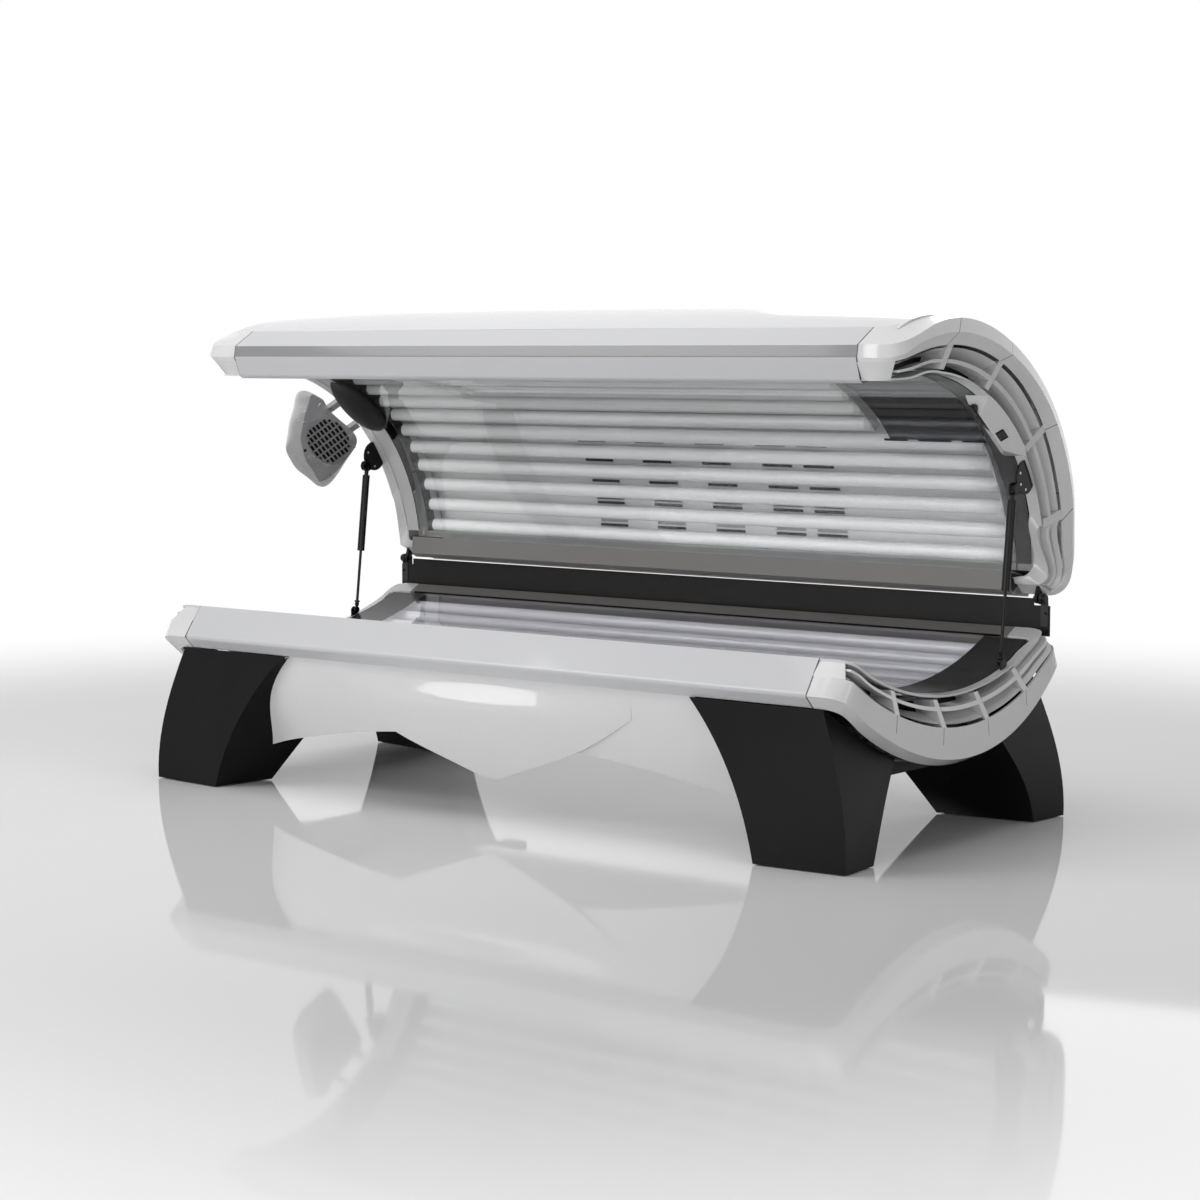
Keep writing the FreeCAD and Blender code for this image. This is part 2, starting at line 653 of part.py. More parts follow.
def build_base():
    wedge = ribbon(BASE_CAP)
    arch = leg_arch(wedge)
    keep("right_leg_arch", arch)
    keep("left_leg_arch", mirror_x(arch))
    keep("leg_glides", leg_glides())
    keep("base_frame", base_frame())
    rail = base_rail()
    keep("base_rear_rail", rail)
    keep("base_front_rail", mirror_y(rail))
    rail_solid = mirror_y(bar(RAIL_OUTER, -RAIL_HALF, RAIL_HALF, {1: 10, 2: 6}))
    foot = leg_foot()
    keep("front_skirt", front_skirt(rail_solid, (foot, mirror_x(foot))))
    front, rear = [math.degrees(math.asin(y / BELLY_R)) for y in (-437, 459)]
    keep("belly_pan", arc_plate(BELLY_CZ, BELLY_R - 4, BELLY_R, front, rear, -RAIL_HALF, RAIL_HALF, -1))

    cap = ribbon(list(BASE_CAP) + inner_lines(BASE_CAP, -1)[::-1])
    keep("base_right_cap", cap)
    keep("base_left_cap", mirror_x(cap))
    frame = louvre(BASE_RIM_IN, BASE_RIM_OUT, BASE_FIELD, BASE_RIBS, 1)
    keep("base_right_louvre", frame)
    keep("base_left_louvre", mirror_x(frame))
    keep("base_filters", both_ends(louvre_filter(BASE_RIM_OUT, BASE_FIELD, BASE_RIBS)))

    half = BENCH_HALF_ANGLE
    keep("bench_acrylic", arc_plate(BENCH_CZ, BENCH_R, BENCH_R + ACRYLIC_T, -half, half,
                                    -PANEL_INNER, PANEL_INNER, -1))
    panel = arc_plate(BENCH_CZ, BENCH_R, BENCH_R + ACRYLIC_T, -PANEL_HALF_ANGLE, PANEL_HALF_ANGLE,
                      PANEL_INNER + GAP, 1080, -1)
    panel = panel.common(arched_mask(900, 1071.5, 1048))
    keep("base_end_panels", both_ends(panel))
    rows = range(-6, 7)
    keep("base_lamps", lamp_row(BENCH_CZ, BENCH_LAMP_RING, rows, BENCH_LAMP_PITCH, -LAMP_END, LAMP_END, -1))
    keep("base_lampholders", both_ends(holder_comb(BENCH_CZ, BENCH_LAMP_RING, rows, BENCH_LAMP_PITCH,
                                                   LAMP_END, 1, -1)))
    keep("base_reflector", arc_plate(BENCH_CZ, BENCH_REFLECTOR_R, BENCH_REFLECTOR_R + 1.5, -24.7, 24.7,
                                     -985, 985, -1))
    keep("base_ballasts", base_ballasts())
    housing, rotor = base_fan()
    keep("base_fan_housing", housing)
    keep("base_fan_rotor", rotor)
    keep("power_inlet", power_inlet())

    keep("rear_panel", rear_panel())
    keep("hinge_posts", both_ends(hinge_post()))
    keep("hinge_pins", both_ends(hinge_pin()))
    keep("strut_studs", both_ends(strut_stud(frame)))
    shaft, cylinder = strut_pieces()
    for side, name in ((1, "right"), (-1, "left")):
        for piece, label in ((shaft, "rod"), (cylinder, "cylinder")):
            moved = piece.copy()
            moved.translate(V(side * STRUT_X, 0, 0))
            keep("%s_strut_%s" % (name, label), moved)


# --- canopy, drawn closed -----------------------------------------------------------------
CANOPY_RAIL = [(-491, 667), (-520, 596), (-506, 569), (-460, 539), (-447, 541), (-428, 563), (-455, 650)]
CANOPY_RAIL_CORE = [(-487, 659), (-515, 597), (-502, 572), (-460, 544), (-450, 546), (-433, 565), (-459, 644)]
REAR_RAIL = [(378, 576), (405, 536), (425, 536), (440, 575), (470, 590), (470, 604), (430, 600)]
REAR_RAIL_CORE = [(384, 574), (407, 540), (422, 540), (437, 578), (466, 593), (466, 600), (431, 596)]


def shell_point(x, rise, t_deg, inset):
    """Point of the shell's section; t_deg runs from front (-90) over the top to the rear (90)."""
    half = (SHELL_FRONT if t_deg < 0 else SHELL_REAR) - inset
    power = 2 / SHELL_POWER
    s, c = math.sin(rad(t_deg)), math.cos(rad(t_deg))
    y = math.copysign(half * abs(s) ** power, s)
    z = SHELL_Z + math.copysign((rise - inset) * abs(c) ** power, c)
    return V(x, y, z)


def shell_section(x, rise, inset=0.0, thickness=SHELL_T, t0=-75, t1=92):
    steps = 12
    angles = [t0 + (t1 - t0) * k / steps for k in range(steps + 1)]
    outer = spline([shell_point(x, rise, a, inset) for a in angles])
    inner = spline([shell_point(x, rise, a, inset + thickness) for a in reversed(angles)])
    return closed_by_lines([outer, inner])


def rise_at(x):
    """Height of the shell over its widest line, between the listed stations."""
    for (xa, a), (xb, b) in zip(SHELL_RISE, SHELL_RISE[1:]):
        if xa <= x <= xb:
            return a + (b - a) * (x - xa) / (xb - xa)
    return SHELL_RISE[0][1]


def canopy_shell():
    sections = []
    for x, rise in SHELL_RISE:
        start = math.acos(((SHELL_EDGE_Z - SHELL_Z) / rise) ** (SHELL_POWER / 2))
        sections.append(shell_section(x, rise, t0=-math.degrees(start)))
    shell = Part.makeLoft(sections, True, False)
    wedge = ribbon(list(CANOPY_CAP) + inner_lines(CANOPY_CAP, 1)[-1:])
    for side in (-1, 1):
        a, b = sorted((side * (RAIL_HALF - GAP), side * 1070))
        shell = shell.cut(box(a, b, 400, 520, 500, 648))
    return largest(shell.cut(wedge).cut(mirror_x(wedge)))


def canopy_frame():
    """Cross ribs between reflector and shell on long square tubes."""
    inner_r = CANOPY_REFLECTOR_R + 3
    pieces = []
    for x in (-955, -480, 0, 480, 955):
        rise = rise_at(x) - 12
        angles = [-62 + 124 * k / 8 for k in range(9)]
        outer = spline([shell_point(x - 3, rise, a, SHELL_T) for a in angles])
        inner = Part.Arc(on_ring(TUNNEL_CZ, inner_r, 44, 1, x - 3), on_ring(TUNNEL_CZ, inner_r, 0, 1, x - 3),
                         on_ring(TUNNEL_CZ, inner_r, -44, 1, x - 3)).toShape()
        pieces.append(Part.Face(closed_by_lines([outer, inner])).extrude(V(6, 0, 0)))
    for deg in (-40, -13, 13, 40):
        tube = box(-952, 952, -12.5, 12.5, 0, 25).cut(box(-960, 960, -10.5, 10.5, 2, 23))
        tube.rotate(V(0, 0, 0), X_AXIS, -deg)
        tube.translate(on_ring(TUNNEL_CZ, inner_r + 1, deg, 1))
        pieces.append(tube)
    return fuse(pieces)


def canopy_ballasts():
    """Ballasts on the outer face of the two middle tubes."""
    blocks = []
    for deg in (-13, 13):
        for x in (-820, -640, -290, -120, 120, 290, 640):
            block = box(x - 60, x + 60, -22, 22, 0, 32)
            block.rotate(V(0, 0, 0), X_AXIS, -deg)
            block.translate(on_ring(TUNNEL_CZ, CANOPY_REFLECTOR_R + 29, deg, 1))
            blocks.append(block)
    return Part.makeCompound(blocks)


SLOT_RUNS = ((-352, -256), (-152, -55), (48, 144), (246, 341), (377, 472))


def canopy_reflector():
    """Curved reflector with cooling slots between the rear lamps."""
    sheet = arc_plate(TUNNEL_CZ, CANOPY_REFLECTOR_R, CANOPY_REFLECTOR_R + 1.5, -46.5, 46.5, -952, 952, 1)
    cuts = []
    for row in range(1, 7):
        runs = SLOT_RUNS + (((511, 603),) if row == 1 else ())
        for x0, x1 in runs:
            slot = box(x0, x1, -5, 5, -5, 8)
            slot.rotate(V(0, 0, 0), X_AXIS, -LAMP_PITCH * (row + 0.5))
            slot.translate(on_ring(TUNNEL_CZ, CANOPY_REFLECTOR_R, LAMP_PITCH * (row + 0.5), 1))
            cuts.append(slot)
    return sheet.cut(cuts)


def face_lamps():
    """Three reflector boxes of the facial tanner with a burner across each."""
    pieces = []
    for deg in (-12.4, -4.2, 4.0):
        tray = box(750, 960, -33, 33, 0, 30)
        tray = tray.cut(Part.makeLoft([Part.makePolygon([V(754, -29, -1), V(956, -29, -1), V(956, 29, -1),
                                                         V(754, 29, -1), V(754, -29, -1)]),
                                       Part.makePolygon([V(775, -12, 26), V(935, -12, 26), V(935, 12, 26),
                                                         V(775, 12, 26), V(775, -12, 26)])], True, True))
        burner = rod(V(752, 0, 14), V(958, 0, 14), 6)
        unit = fuse([tray, burner])
        unit.rotate(V(0, 0, 0), X_AXIS, -deg)
        unit.translate(on_ring(TUNNEL_CZ, TUNNEL_R + 14, deg, 1))
        pieces.append(unit)
    return Part.makeCompound(pieces)


def face_filter():
    a0, a1 = FILTER_ANGLES
    r0 = TUNNEL_R + ACRYLIC_T + GAP
    return arc_plate(TUNNEL_CZ, r0, r0 + 4, a0, a1, FILTER_X[0], FILTER_X[1], 1)


def hinge_arm():
    """Flat arm from the pin to the rear rail."""
    eye = pin(ARM_X[0], ARM_X[1], HINGE_Y, HINGE_Z, 13)
    web = bar([(440, 542), (455, 555), (455, 612), (432, 612), (432, 575)], ARM_X[0], ARM_X[1])
    foot = box(940, ARM_X[1], 432, 455, 606, 612)
    return fuse([eye, web, foot]).cut(pin(ARM_X[0] - 1, ARM_X[1] + 1, HINGE_Y, HINGE_Z, PIN_R + 0.05))


def strut_bracket(louvre_solid):
    """Half disc under the rim with the pin for the upper eye."""
    y, z = STRUT_TOP_CLOSED
    away = math.hypot(y, z - TUNNEL_CZ)
    towards = V(0, y / away, (z - TUNNEL_CZ) / away)
    centre = V(STRUT_X + 7, 0, TUNNEL_CZ) + towards * (TUNNEL_R - 20)
    disc = rod(centre, centre + V(5, 0, 0), 42)
    disc = disc.fuse(rod(V(STRUT_X + 7, y, z), V(STRUT_X + 12, y, z), 14))
    disc = disc.common(Part.makeCylinder(TUNNEL_R + 4, 60, V(STRUT_X - 20, 0, TUNNEL_CZ), X_AXIS))
    shank = pin(STRUT_X - 6, STRUT_X + 7, y, z, 3.5)
    return fuse([disc, shank]).cut(louvre_solid)


CONSOLE_X = ((1030, 774), (1098, 774), (1098, 757), (1062, 727), (1036, 741), (1030, 758))
CONSOLE_Y = ((-112, 774), (-112, 757), (-66, 726), (72, 726), (128, 749), (128, 774))


def console():
    """Control pod on the rim, its five key pockets, and the keys."""
    across = Part.makePolygon([V(x, -200, z) for x, z in CONSOLE_X + CONSOLE_X[:1]])
    along = Part.makePolygon([V(1000, y, z) for y, z in CONSOLE_Y + CONSOLE_Y[:1]])
    body = Part.Face(across).extrude(V(0, 400, 0)).common(Part.Face(along).extrude(V(120, 0, 0)))
    outer, ridge, inner = [V(x, 0, z) for x, z in CONSOLE_X[2:5]]
    keys = []
    for y in CONSOLE_KEYS:
        spot = (ridge + inner) * 0.5 + V(0, y, 0)
        slope = (ridge - inner).normalize()
        normal = V(slope.z, 0, -slope.x)
        keys.append(place(box(-7, 7, -8, 8, -8, KEY_PROUD), spot, slope, normal))
        body = body.cut(place(box(-7.4, 7.4, -8.4, 8.4, -12, 6), spot, slope, normal))
    spot = ridge + (outer - ridge) * 0.36 + V(0, 26, 0)
    slope = (outer - ridge).normalize()
    normal = V(slope.z, 0, -slope.x)
    keys.append(place(box(-7, 7, -12, 12, -8, KEY_PROUD), spot, slope, normal))
    body = body.cut(place(box(-7.4, 7.4, -12.4, 12.4, -12, 6), spot, slope, normal))
    return body, keys


POD_FACE = [(5, -96), (-6, 97), (114, 134), (155, 133), (153, 43), (128, -31), (62, -102), (19, -137)]
POD_BACK = [(30, -70), (20, 100), (120, 175), (160, 189), (192, 87), (185, 21), (122, -54), (53, -115)]
POD_DEPTH = 85


SLOT_STEP = 24
SLOT_PITCH = 12.5


def oval(half_x, half_y, base, height):
    """Elliptical disc, longer along Y."""
    ellipse = Part.Ellipse(V(0, 0, 0), half_y, half_x).toShape()
    ellipse.rotate(V(0, 0, 0), V(0, 0, 1), 90)
    disc = Part.Face(Part.Wire([ellipse])).extrude(V(0, 0, height))
    disc.translate(base)
    return disc


def pod_ring(points, z, scale=1.0):
    """Closed smooth curve through the middles of a polygon's sides and just inside its corners."""
    cx = sum(p[0] for p in points) / len(points)
    cy = sum(p[1] for p in points) / len(points)
    corners = [V(cx + (a - cx) * scale, cy + (b - cy) * scale, z) for a, b in points]
    ring = []
    for i, corner in enumerate(corners):
        before, after = corners[i - 1], corners[(i + 1) % len(corners)]
        ring.append(corner * 0.90 + (before + after) * 0.05)
        ring.append((corner + after) * 0.5)
    curve = Part.BSplineCurve()
    curve.interpolate(Points=ring, PeriodicFlag=True)
    return Part.Wire([curve.toShape()])


def fan_pod():
    """Pod, grille and rotor in the pod's own frame, its face on z 0."""
    a, b = POD_FAN
    rings = [pod_ring(POD_FACE, 0), pod_ring(POD_BACK, -POD_DEPTH), pod_ring(POD_BACK, -POD_DEPTH - 28, 0.72)]
    body = Part.makeLoft(rings, True, False)
    body = body.cut(oval(GRILLE[0] + GAP, GRILLE[1] + GAP, V(a, b, -5), 6))
    body = body.cut(Part.makeCylinder(GRILLE[0] - 4, 40, V(a, b, -44)))
    axle = Part.makeCylinder(4, 32, V(a, b, -45))
    body = fuse([body, axle])
    rotor = fan_rotor(18, ROTOR_R, 20, 4.15, 6)
    rotor.translate(V(a, b, -38))
    grille = oval(GRILLE[0], GRILLE[1], V(a, b, -5), 4)
    slots = []
    for row in range(-4, 5):
        v = row * SLOT_PITCH
        half = (GRILLE[1] - 8) * math.sqrt(1 - (v / GRILLE[0]) ** 2)
        for k in range(-4, 4):
            u0, u1 = max(k * SLOT_STEP + 2, -half), min((k + 1) * SLOT_STEP - 2, half)
            if u1 - u0 > 6:
                slots.append(box(a + v - 4, a + v + 4, b + u0, b + u1, -8, 2))
    return body, grille.cut(slots), rotor


def pod_arms():
    """Two brackets in the pod's own frame that hold it on the rim."""
    return [box(-34, reach, u - 9, u + 9, -34, -14) for u, reach in ((-45, 24), (52, 9))]


NOZZLE_MID = (-1046, -2)        # x and ring angle of the nozzle's flat side
NOZZLE_SIZE = (104, 132, 66)    # length, half width and height


def fan_nozzle():
    """Dome inside the foot end of the tunnel that turns the fan's air over the body."""
    x, deg = NOZZLE_MID
    length, width, height = NOZZLE_SIZE
    stretch = FreeCAD.Matrix()
    stretch.scale(length, width, height)
    dome = Part.makeSphere(1).transformGeometry(stretch)
    core = FreeCAD.Matrix()
    core.scale(length - 4, width - 4, height - 4)
    dome = dome.cut(Part.makeSphere(1).transformGeometry(core))
    dome.rotate(V(0, 0, 0), X_AXIS, -deg)
    dome.translate(on_ring(TUNNEL_CZ, TUNNEL_R - 2, deg, 1, x - 3))
    inside = Part.makeCylinder(TUNNEL_R - GAP, 200, V(x, 0, TUNNEL_CZ), X_AXIS)
    return largest(dome.common(inside))


def build_canopy():
    keep_canopy("canopy_shell", canopy_shell())
    rail = bar(CANOPY_RAIL, -RAIL_HALF, RAIL_HALF, {2: 14, 3: 14})
    rail = rail.cut(bar(CANOPY_RAIL_CORE, -RAIL_HALF - 1, RAIL_HALF + 1, {2: 10, 3: 10}))
    keep_canopy("canopy_front_rail", rail)
    rail = bar(REAR_RAIL, -RAIL_HALF, RAIL_HALF)
    keep_canopy("canopy_rear_rail", rail.cut(bar(REAR_RAIL_CORE, -RAIL_HALF - 1, RAIL_HALF + 1)))
    cap = ribbon(list(CANOPY_CAP) + inner_lines(CANOPY_CAP, 1)[::-1])
    keep_canopy("canopy_right_cap", cap)
    keep_canopy("canopy_left_cap", mirror_x(cap))
    frame = louvre(CANOPY_RIM_IN, CANOPY_RIM_OUT, CANOPY_FIELD, CANOPY_RIBS, -1)
    frame = frame.cut(box(ARM_X[0] - 1, ARM_X[1] + 1, 430, 458, 530, 640))
    frame = frame.cut(box(930, ARM_X[1] + 1, 430, 458, 604, 614))
    left_frame = mirror_x(frame)
    keep_canopy("canopy_right_louvre", frame)
    keep_canopy("canopy_left_louvre", left_frame)
    keep_canopy("canopy_filters", both_ends(louvre_filter(CANOPY_RIM_OUT, CANOPY_FIELD, CANOPY_RIBS)))

    keep_canopy("canopy_acrylic", arc_plate(TUNNEL_CZ, TUNNEL_R, TUNNEL_R + ACRYLIC_T, TUNNEL_FRONT,
                                            TUNNEL_REAR, -RAIL_HALF, RAIL_HALF, 1))
    panel = arc_plate(TUNNEL_CZ, TUNNEL_R, TUNNEL_R + ACRYLIC_T, -TUNNEL_PANEL, TUNNEL_PANEL,
                      RAIL_HALF + GAP, 1070, 1)
    keep_canopy("canopy_end_panels", both_ends(panel.common(arched_mask(980, 1055, 1029.5))))
    keep_canopy("canopy_lamps", lamp_row(TUNNEL_CZ, CANOPY_LAMP_RING, LONG_ROWS, LAMP_PITCH,
                                         -LAMP_END + SOCKET, LAMP_END - SOCKET, 1))
    keep_canopy("canopy_short_lamps", lamp_row(TUNNEL_CZ, CANOPY_LAMP_RING, SHORT_ROWS, LAMP_PITCH,
                                               -LAMP_END + SOCKET, SHORT_LAMP_END, 1))
    x_end = LAMP_END - SOCKET
    combs = [holder_comb(TUNNEL_CZ, CANOPY_LAMP_RING, rows, LAMP_PITCH, x, side, 1)
             for rows, x, side in ((range(-7, 8), -x_end, -1), (LONG_ROWS[:5], x_end, 1),
                                   (LONG_ROWS[5:], x_end, 1), (SHORT_ROWS, SHORT_LAMP_END, 1))]
    keep_canopy("canopy_lampholders", Part.makeCompound(combs))
    keep_canopy("canopy_reflector", canopy_reflector())
    keep_canopy("canopy_frame", canopy_frame())
    keep_canopy("canopy_ballasts", canopy_ballasts())
    keep_canopy("face_filter", face_filter())
    keep_canopy("face_lamps", face_lamps())
    keep_canopy("hinge_arms", both_ends(hinge_arm()))
    keep_canopy("strut_brackets", both_ends(strut_bracket(frame)))

    body, keys = console()
    inside = Part.makeCylinder(TUNNEL_R - 1, 100, V(1020, 0, TUNNEL_CZ), X_AXIS)
    keep_canopy("control_pod", largest(body.common(inside)))
    for name, key in zip(("key_1", "key_2", "key_3", "key_4", "start_key"), keys):
        keep_canopy(name, key)

    keep_canopy("fan_nozzle", fan_nozzle())
    pod, grille, rotor = fan_pod()
    arms = [place(arm, POD_ORIGIN, POD_ACROSS, POD_NORMAL) for arm in pod_arms()]
    pod = place(pod, POD_ORIGIN, POD_ACROSS, POD_NORMAL).fuse(arms)
    blocked = swing_open(left_frame)
    keep("fan_pod", largest(pod.cut(blocked)))
    keep("fan_grille", place(grille, POD_ORIGIN, POD_ACROSS, POD_NORMAL))
    keep("pod_fan_rotor", place(rotor, POD_ORIGIN, POD_ACROSS, POD_NORMAL))


def main():
    os.makedirs("parts", exist_ok=True)
    build_base()
    build_canopy()
    for name, shape in made.items():
        shape.translate(FRAME_SHIFT)
        shape.exportStep("parts/%s.step" % name)
        print(name, "solids", len(shape.Solids), "valid", shape.isValid(), "litres %.2f" % (shape.Volume / 1e6))


main()
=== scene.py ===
"""Clamshell tanning bed: finishes, small parts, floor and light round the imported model."""
import math

import bmesh
import bpy
from mathutils import Matrix, Vector


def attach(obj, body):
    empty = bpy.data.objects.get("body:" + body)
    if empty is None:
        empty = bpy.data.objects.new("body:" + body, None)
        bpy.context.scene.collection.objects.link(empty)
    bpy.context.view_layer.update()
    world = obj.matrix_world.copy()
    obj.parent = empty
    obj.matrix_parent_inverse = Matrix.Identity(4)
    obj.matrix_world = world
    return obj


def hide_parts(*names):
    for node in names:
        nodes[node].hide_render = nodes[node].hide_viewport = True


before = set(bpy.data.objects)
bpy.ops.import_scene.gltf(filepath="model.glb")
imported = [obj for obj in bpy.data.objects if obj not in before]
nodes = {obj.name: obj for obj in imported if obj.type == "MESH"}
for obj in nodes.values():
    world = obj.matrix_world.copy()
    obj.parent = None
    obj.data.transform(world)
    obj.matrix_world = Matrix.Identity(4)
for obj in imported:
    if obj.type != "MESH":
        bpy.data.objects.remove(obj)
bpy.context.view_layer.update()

# --- places shared with the model, in metres -----------------------------------------------
SHIFT = Vector((0.086, -0.0231, 0.0))     # middle of the bed, as drawn, to the row's origin
HINGE = Vector((0.0, 0.452, 0.546)) + SHIFT
OPEN_ANGLE = math.radians(37)
RAIL_HALF = 1.000
RAIL_JOINT = 0.0012                       # how much of a rail's end lies in the joint
END_AXIS_Z = 1.076                        # centre of the arc that the base's ends follow
TUNNEL_Z = 0.218                          # axis of the lamp tunnel, canopy closed
LAMP_PITCH = 6.25                         # degrees between lamps
LAMP_RADIUS = 0.588
POD_ORIGIN = Vector((-1.120, 0.240, 0.953)) + SHIFT
POD_ACROSS = Vector((-0.602, -0.553, -0.577))
POD_ALONG = Vector((0.0, 0.722, -0.692))
POD_NORMAL = Vector((0.799, -0.416, -0.435))


def moved(x, y, z):
    return Matrix.Translation((x, y, z))


def tipped(degrees):
    """Turned about the bed's long axis, front edge down for more than 0."""
    return Matrix.Rotation(math.radians(degrees), 4, "X")


BASE = moved(*SHIFT)
CANOPY = moved(*HINGE) @ Matrix.Rotation(-OPEN_ANGLE, 4, "X") @ moved(*-HINGE) @ BASE
POD = moved(*POD_ORIGIN) @ Matrix((POD_ACROSS, POD_ALONG, POD_NORMAL)).transposed().to_4x4()
Z_ONTO_X = Matrix.Rotation(math.pi / 2, 4, "Y")
Z_ONTO_FRONT = Matrix.Rotation(math.pi / 2, 4, "X")


# --- node helpers --------------------------------------------------------------------------
class Net:
    """Short words for building a shader tree."""

    def __init__(self, tree):
        self.tree = tree

    def add(self, kind, **settings):
        node = self.tree.nodes.new(kind)
        for key, value in settings.items():
            setattr(node, key, value)
        return node

    def feed(self, socket, value):
        if isinstance(value, bpy.types.NodeSocket):
            self.tree.links.new(value, socket)
        elif value is not None:
            socket.default_value = value

    def math(self, operation, *values, clamp=False):
        node = self.add("ShaderNodeMath", operation=operation, use_clamp=clamp)
        for socket, value in zip(node.inputs, values):
            self.feed(socket, value)
        return node.outputs[0]

    def mix(self, share, a, b):
        node = self.add("ShaderNodeMix", data_type="RGBA")
        self.feed(node.inputs["Factor"], share)
        self.feed(node.inputs[6], a)
        self.feed(node.inputs[7], b)
        return node.outputs[2]

    def span(self, value, low, high, to_low=0.0, to_high=1.0, smooth=False):
        kind = "SMOOTHSTEP" if smooth else "LINEAR"
        node = self.add("ShaderNodeMapRange", interpolation_type=kind)
        for socket, item in zip(node.inputs, (value, low, high, to_low, to_high)):
            self.feed(socket, item)
        return node.outputs[0]

    def noise(self, vector, scale, detail=2.0, roughness=0.5):
        node = self.add("ShaderNodeTexNoise")
        self.feed(node.inputs["Vector"], vector)
        self.feed(node.inputs["Scale"], scale)
        node.inputs["Detail"].default_value = detail
        node.inputs["Roughness"].default_value = roughness
        return node.outputs["Fac"]

    def place(self, vector, offset=(0, 0, 0), turn=(0, 0, 0), scale=(1, 1, 1)):
        node = self.add("ShaderNodeMapping")
        self.feed(node.inputs["Vector"], vector)
        node.inputs["Location"].default_value = offset
        node.inputs["Rotation"].default_value = turn
        node.inputs["Scale"].default_value = scale
        return node.outputs[0]

    def split(self, vector):
        node = self.add("ShaderNodeSeparateXYZ")
        self.feed(node.inputs[0], vector)
        return node.outputs

    def bump(self, height, strength, distance):
        node = self.add("ShaderNodeBump")
        self.feed(node.inputs["Height"], height)
        node.inputs["Strength"].default_value = strength
        node.inputs["Distance"].default_value = distance
        return node.outputs[0]

    def distance(self, a, b):
        """Length of a step of a and b at right angles."""
        return self.math("SQRT", self.math("ADD", self.math("MULTIPLY", a, a), self.math("MULTIPLY", b, b)))

    def off(self, value, middle):
        """How far a value lies from a middle value."""
        return self.math("ABSOLUTE", self.math("SUBTRACT", value, middle))

    def group(self, tree, **values):
        """Places an effect; an underscore in a name stands for a space."""
        node = self.add("ShaderNodeGroup", node_tree=tree)
        for name, value in values.items():
            self.feed(node.inputs[name.replace("_", " ")], value)
        return node.outputs


def new_group(name, inputs, outputs):
    """An empty effect with its named sockets; a tuple of numbers makes a colour input."""
    tree = bpy.data.node_groups.new(name, "ShaderNodeTree")
    for label, value in inputs:
        kind = "NodeSocketFloat"
        if value is None:
            kind = "NodeSocketVector"
        elif isinstance(value, tuple):
            kind = "NodeSocketColor"
        item = tree.interface.new_socket(label, in_out="INPUT", socket_type=kind)
        if value is not None:
            item.default_value = value
    for label, kind in outputs:
        tree.interface.new_socket(label, in_out="OUTPUT", socket_type=kind)
    net = Net(tree)
    entry = net.add("NodeGroupInput")
    leave = net.add("NodeGroupOutput")
    return net, entry.outputs, leave.inputs


SURFACE = [("Color", "NodeSocketColor"), ("Roughness", "NodeSocketFloat"), ("Height", "NodeSocketFloat")]


def make_skin():
    """Moulded or lacquered surface: soft unevenness, fine dust, dull patches from wiping."""
    net, given, out = new_group(
        "moulded skin",
        [("Vector", None), ("Color", (0.8, 0.8, 0.8, 1)), ("Dust", (0.6, 0.58, 0.55, 1)),
         ("Dust Amount", 0.1), ("Roughness", 0.2), ("Wiping", 0.08), ("Peel Scale", 180.0)], SURFACE)
    vector = given["Vector"]
    smears = net.place(vector, turn=(0.3, 0.2, 0.5), scale=(2.0, 9.0, 9.0))
    cloud = net.noise(vector, scale=3.2, detail=4.0, roughness=0.6)
    wiped = net.noise(smears, scale=2.2, detail=3.0, roughness=0.6)
    specks = net.noise(vector, scale=900.0, detail=1.0)
    dusty = net.span(cloud, 0.42, 0.75)
    dusty = net.math("MULTIPLY", dusty, net.span(specks, 0.35, 0.7, to_low=0.4, to_high=1.0))
    share = net.math("MULTIPLY", dusty, given["Dust Amount"], clamp=True)
    net.feed(out["Color"], net.mix(share, given["Color"], given["Dust"]))
    patch = net.math("MULTIPLY", net.math("SUBTRACT", wiped, 0.45), given["Wiping"])
    net.feed(out["Roughness"], net.math("ADD", given["Roughness"], patch, clamp=True))
    net.feed(out["Height"], net.noise(vector, given["Peel Scale"], detail=1.5))
    return net.tree


def make_drawn_lines():
    """Faint lines along X, as on extruded, rolled or ground metal."""
    net, given, out = new_group(
        "drawn lines",
        [("Vector", None), ("Color", (0.7, 0.7, 0.7, 1)), ("Dark", (0.5, 0.5, 0.5, 1)),
         ("Contrast", 0.3), ("Roughness", 0.3), ("Fineness", 500.0)], SURFACE)
    stretched = net.place(given["Vector"], scale=(0.012, 1.0, 1.0))
    fine = net.noise(stretched, given["Fineness"], detail=3.0, roughness=0.65)
    broad = net.noise(net.place(given["Vector"], scale=(0.3, 1.0, 1.0)), scale=5.0)
    share = net.math("MULTIPLY", fine, given["Contrast"], clamp=True)
    share = net.math("MULTIPLY", share, net.span(broad, 0.3, 0.7, to_low=0.6, to_high=1.2), clamp=True)
    net.feed(out["Color"], net.mix(share, given["Color"], given["Dark"]))
    net.feed(out["Roughness"], net.math("MULTIPLY_ADD", fine, 0.14, given["Roughness"], clamp=True))
    net.feed(out["Height"], fine)
    return net.tree


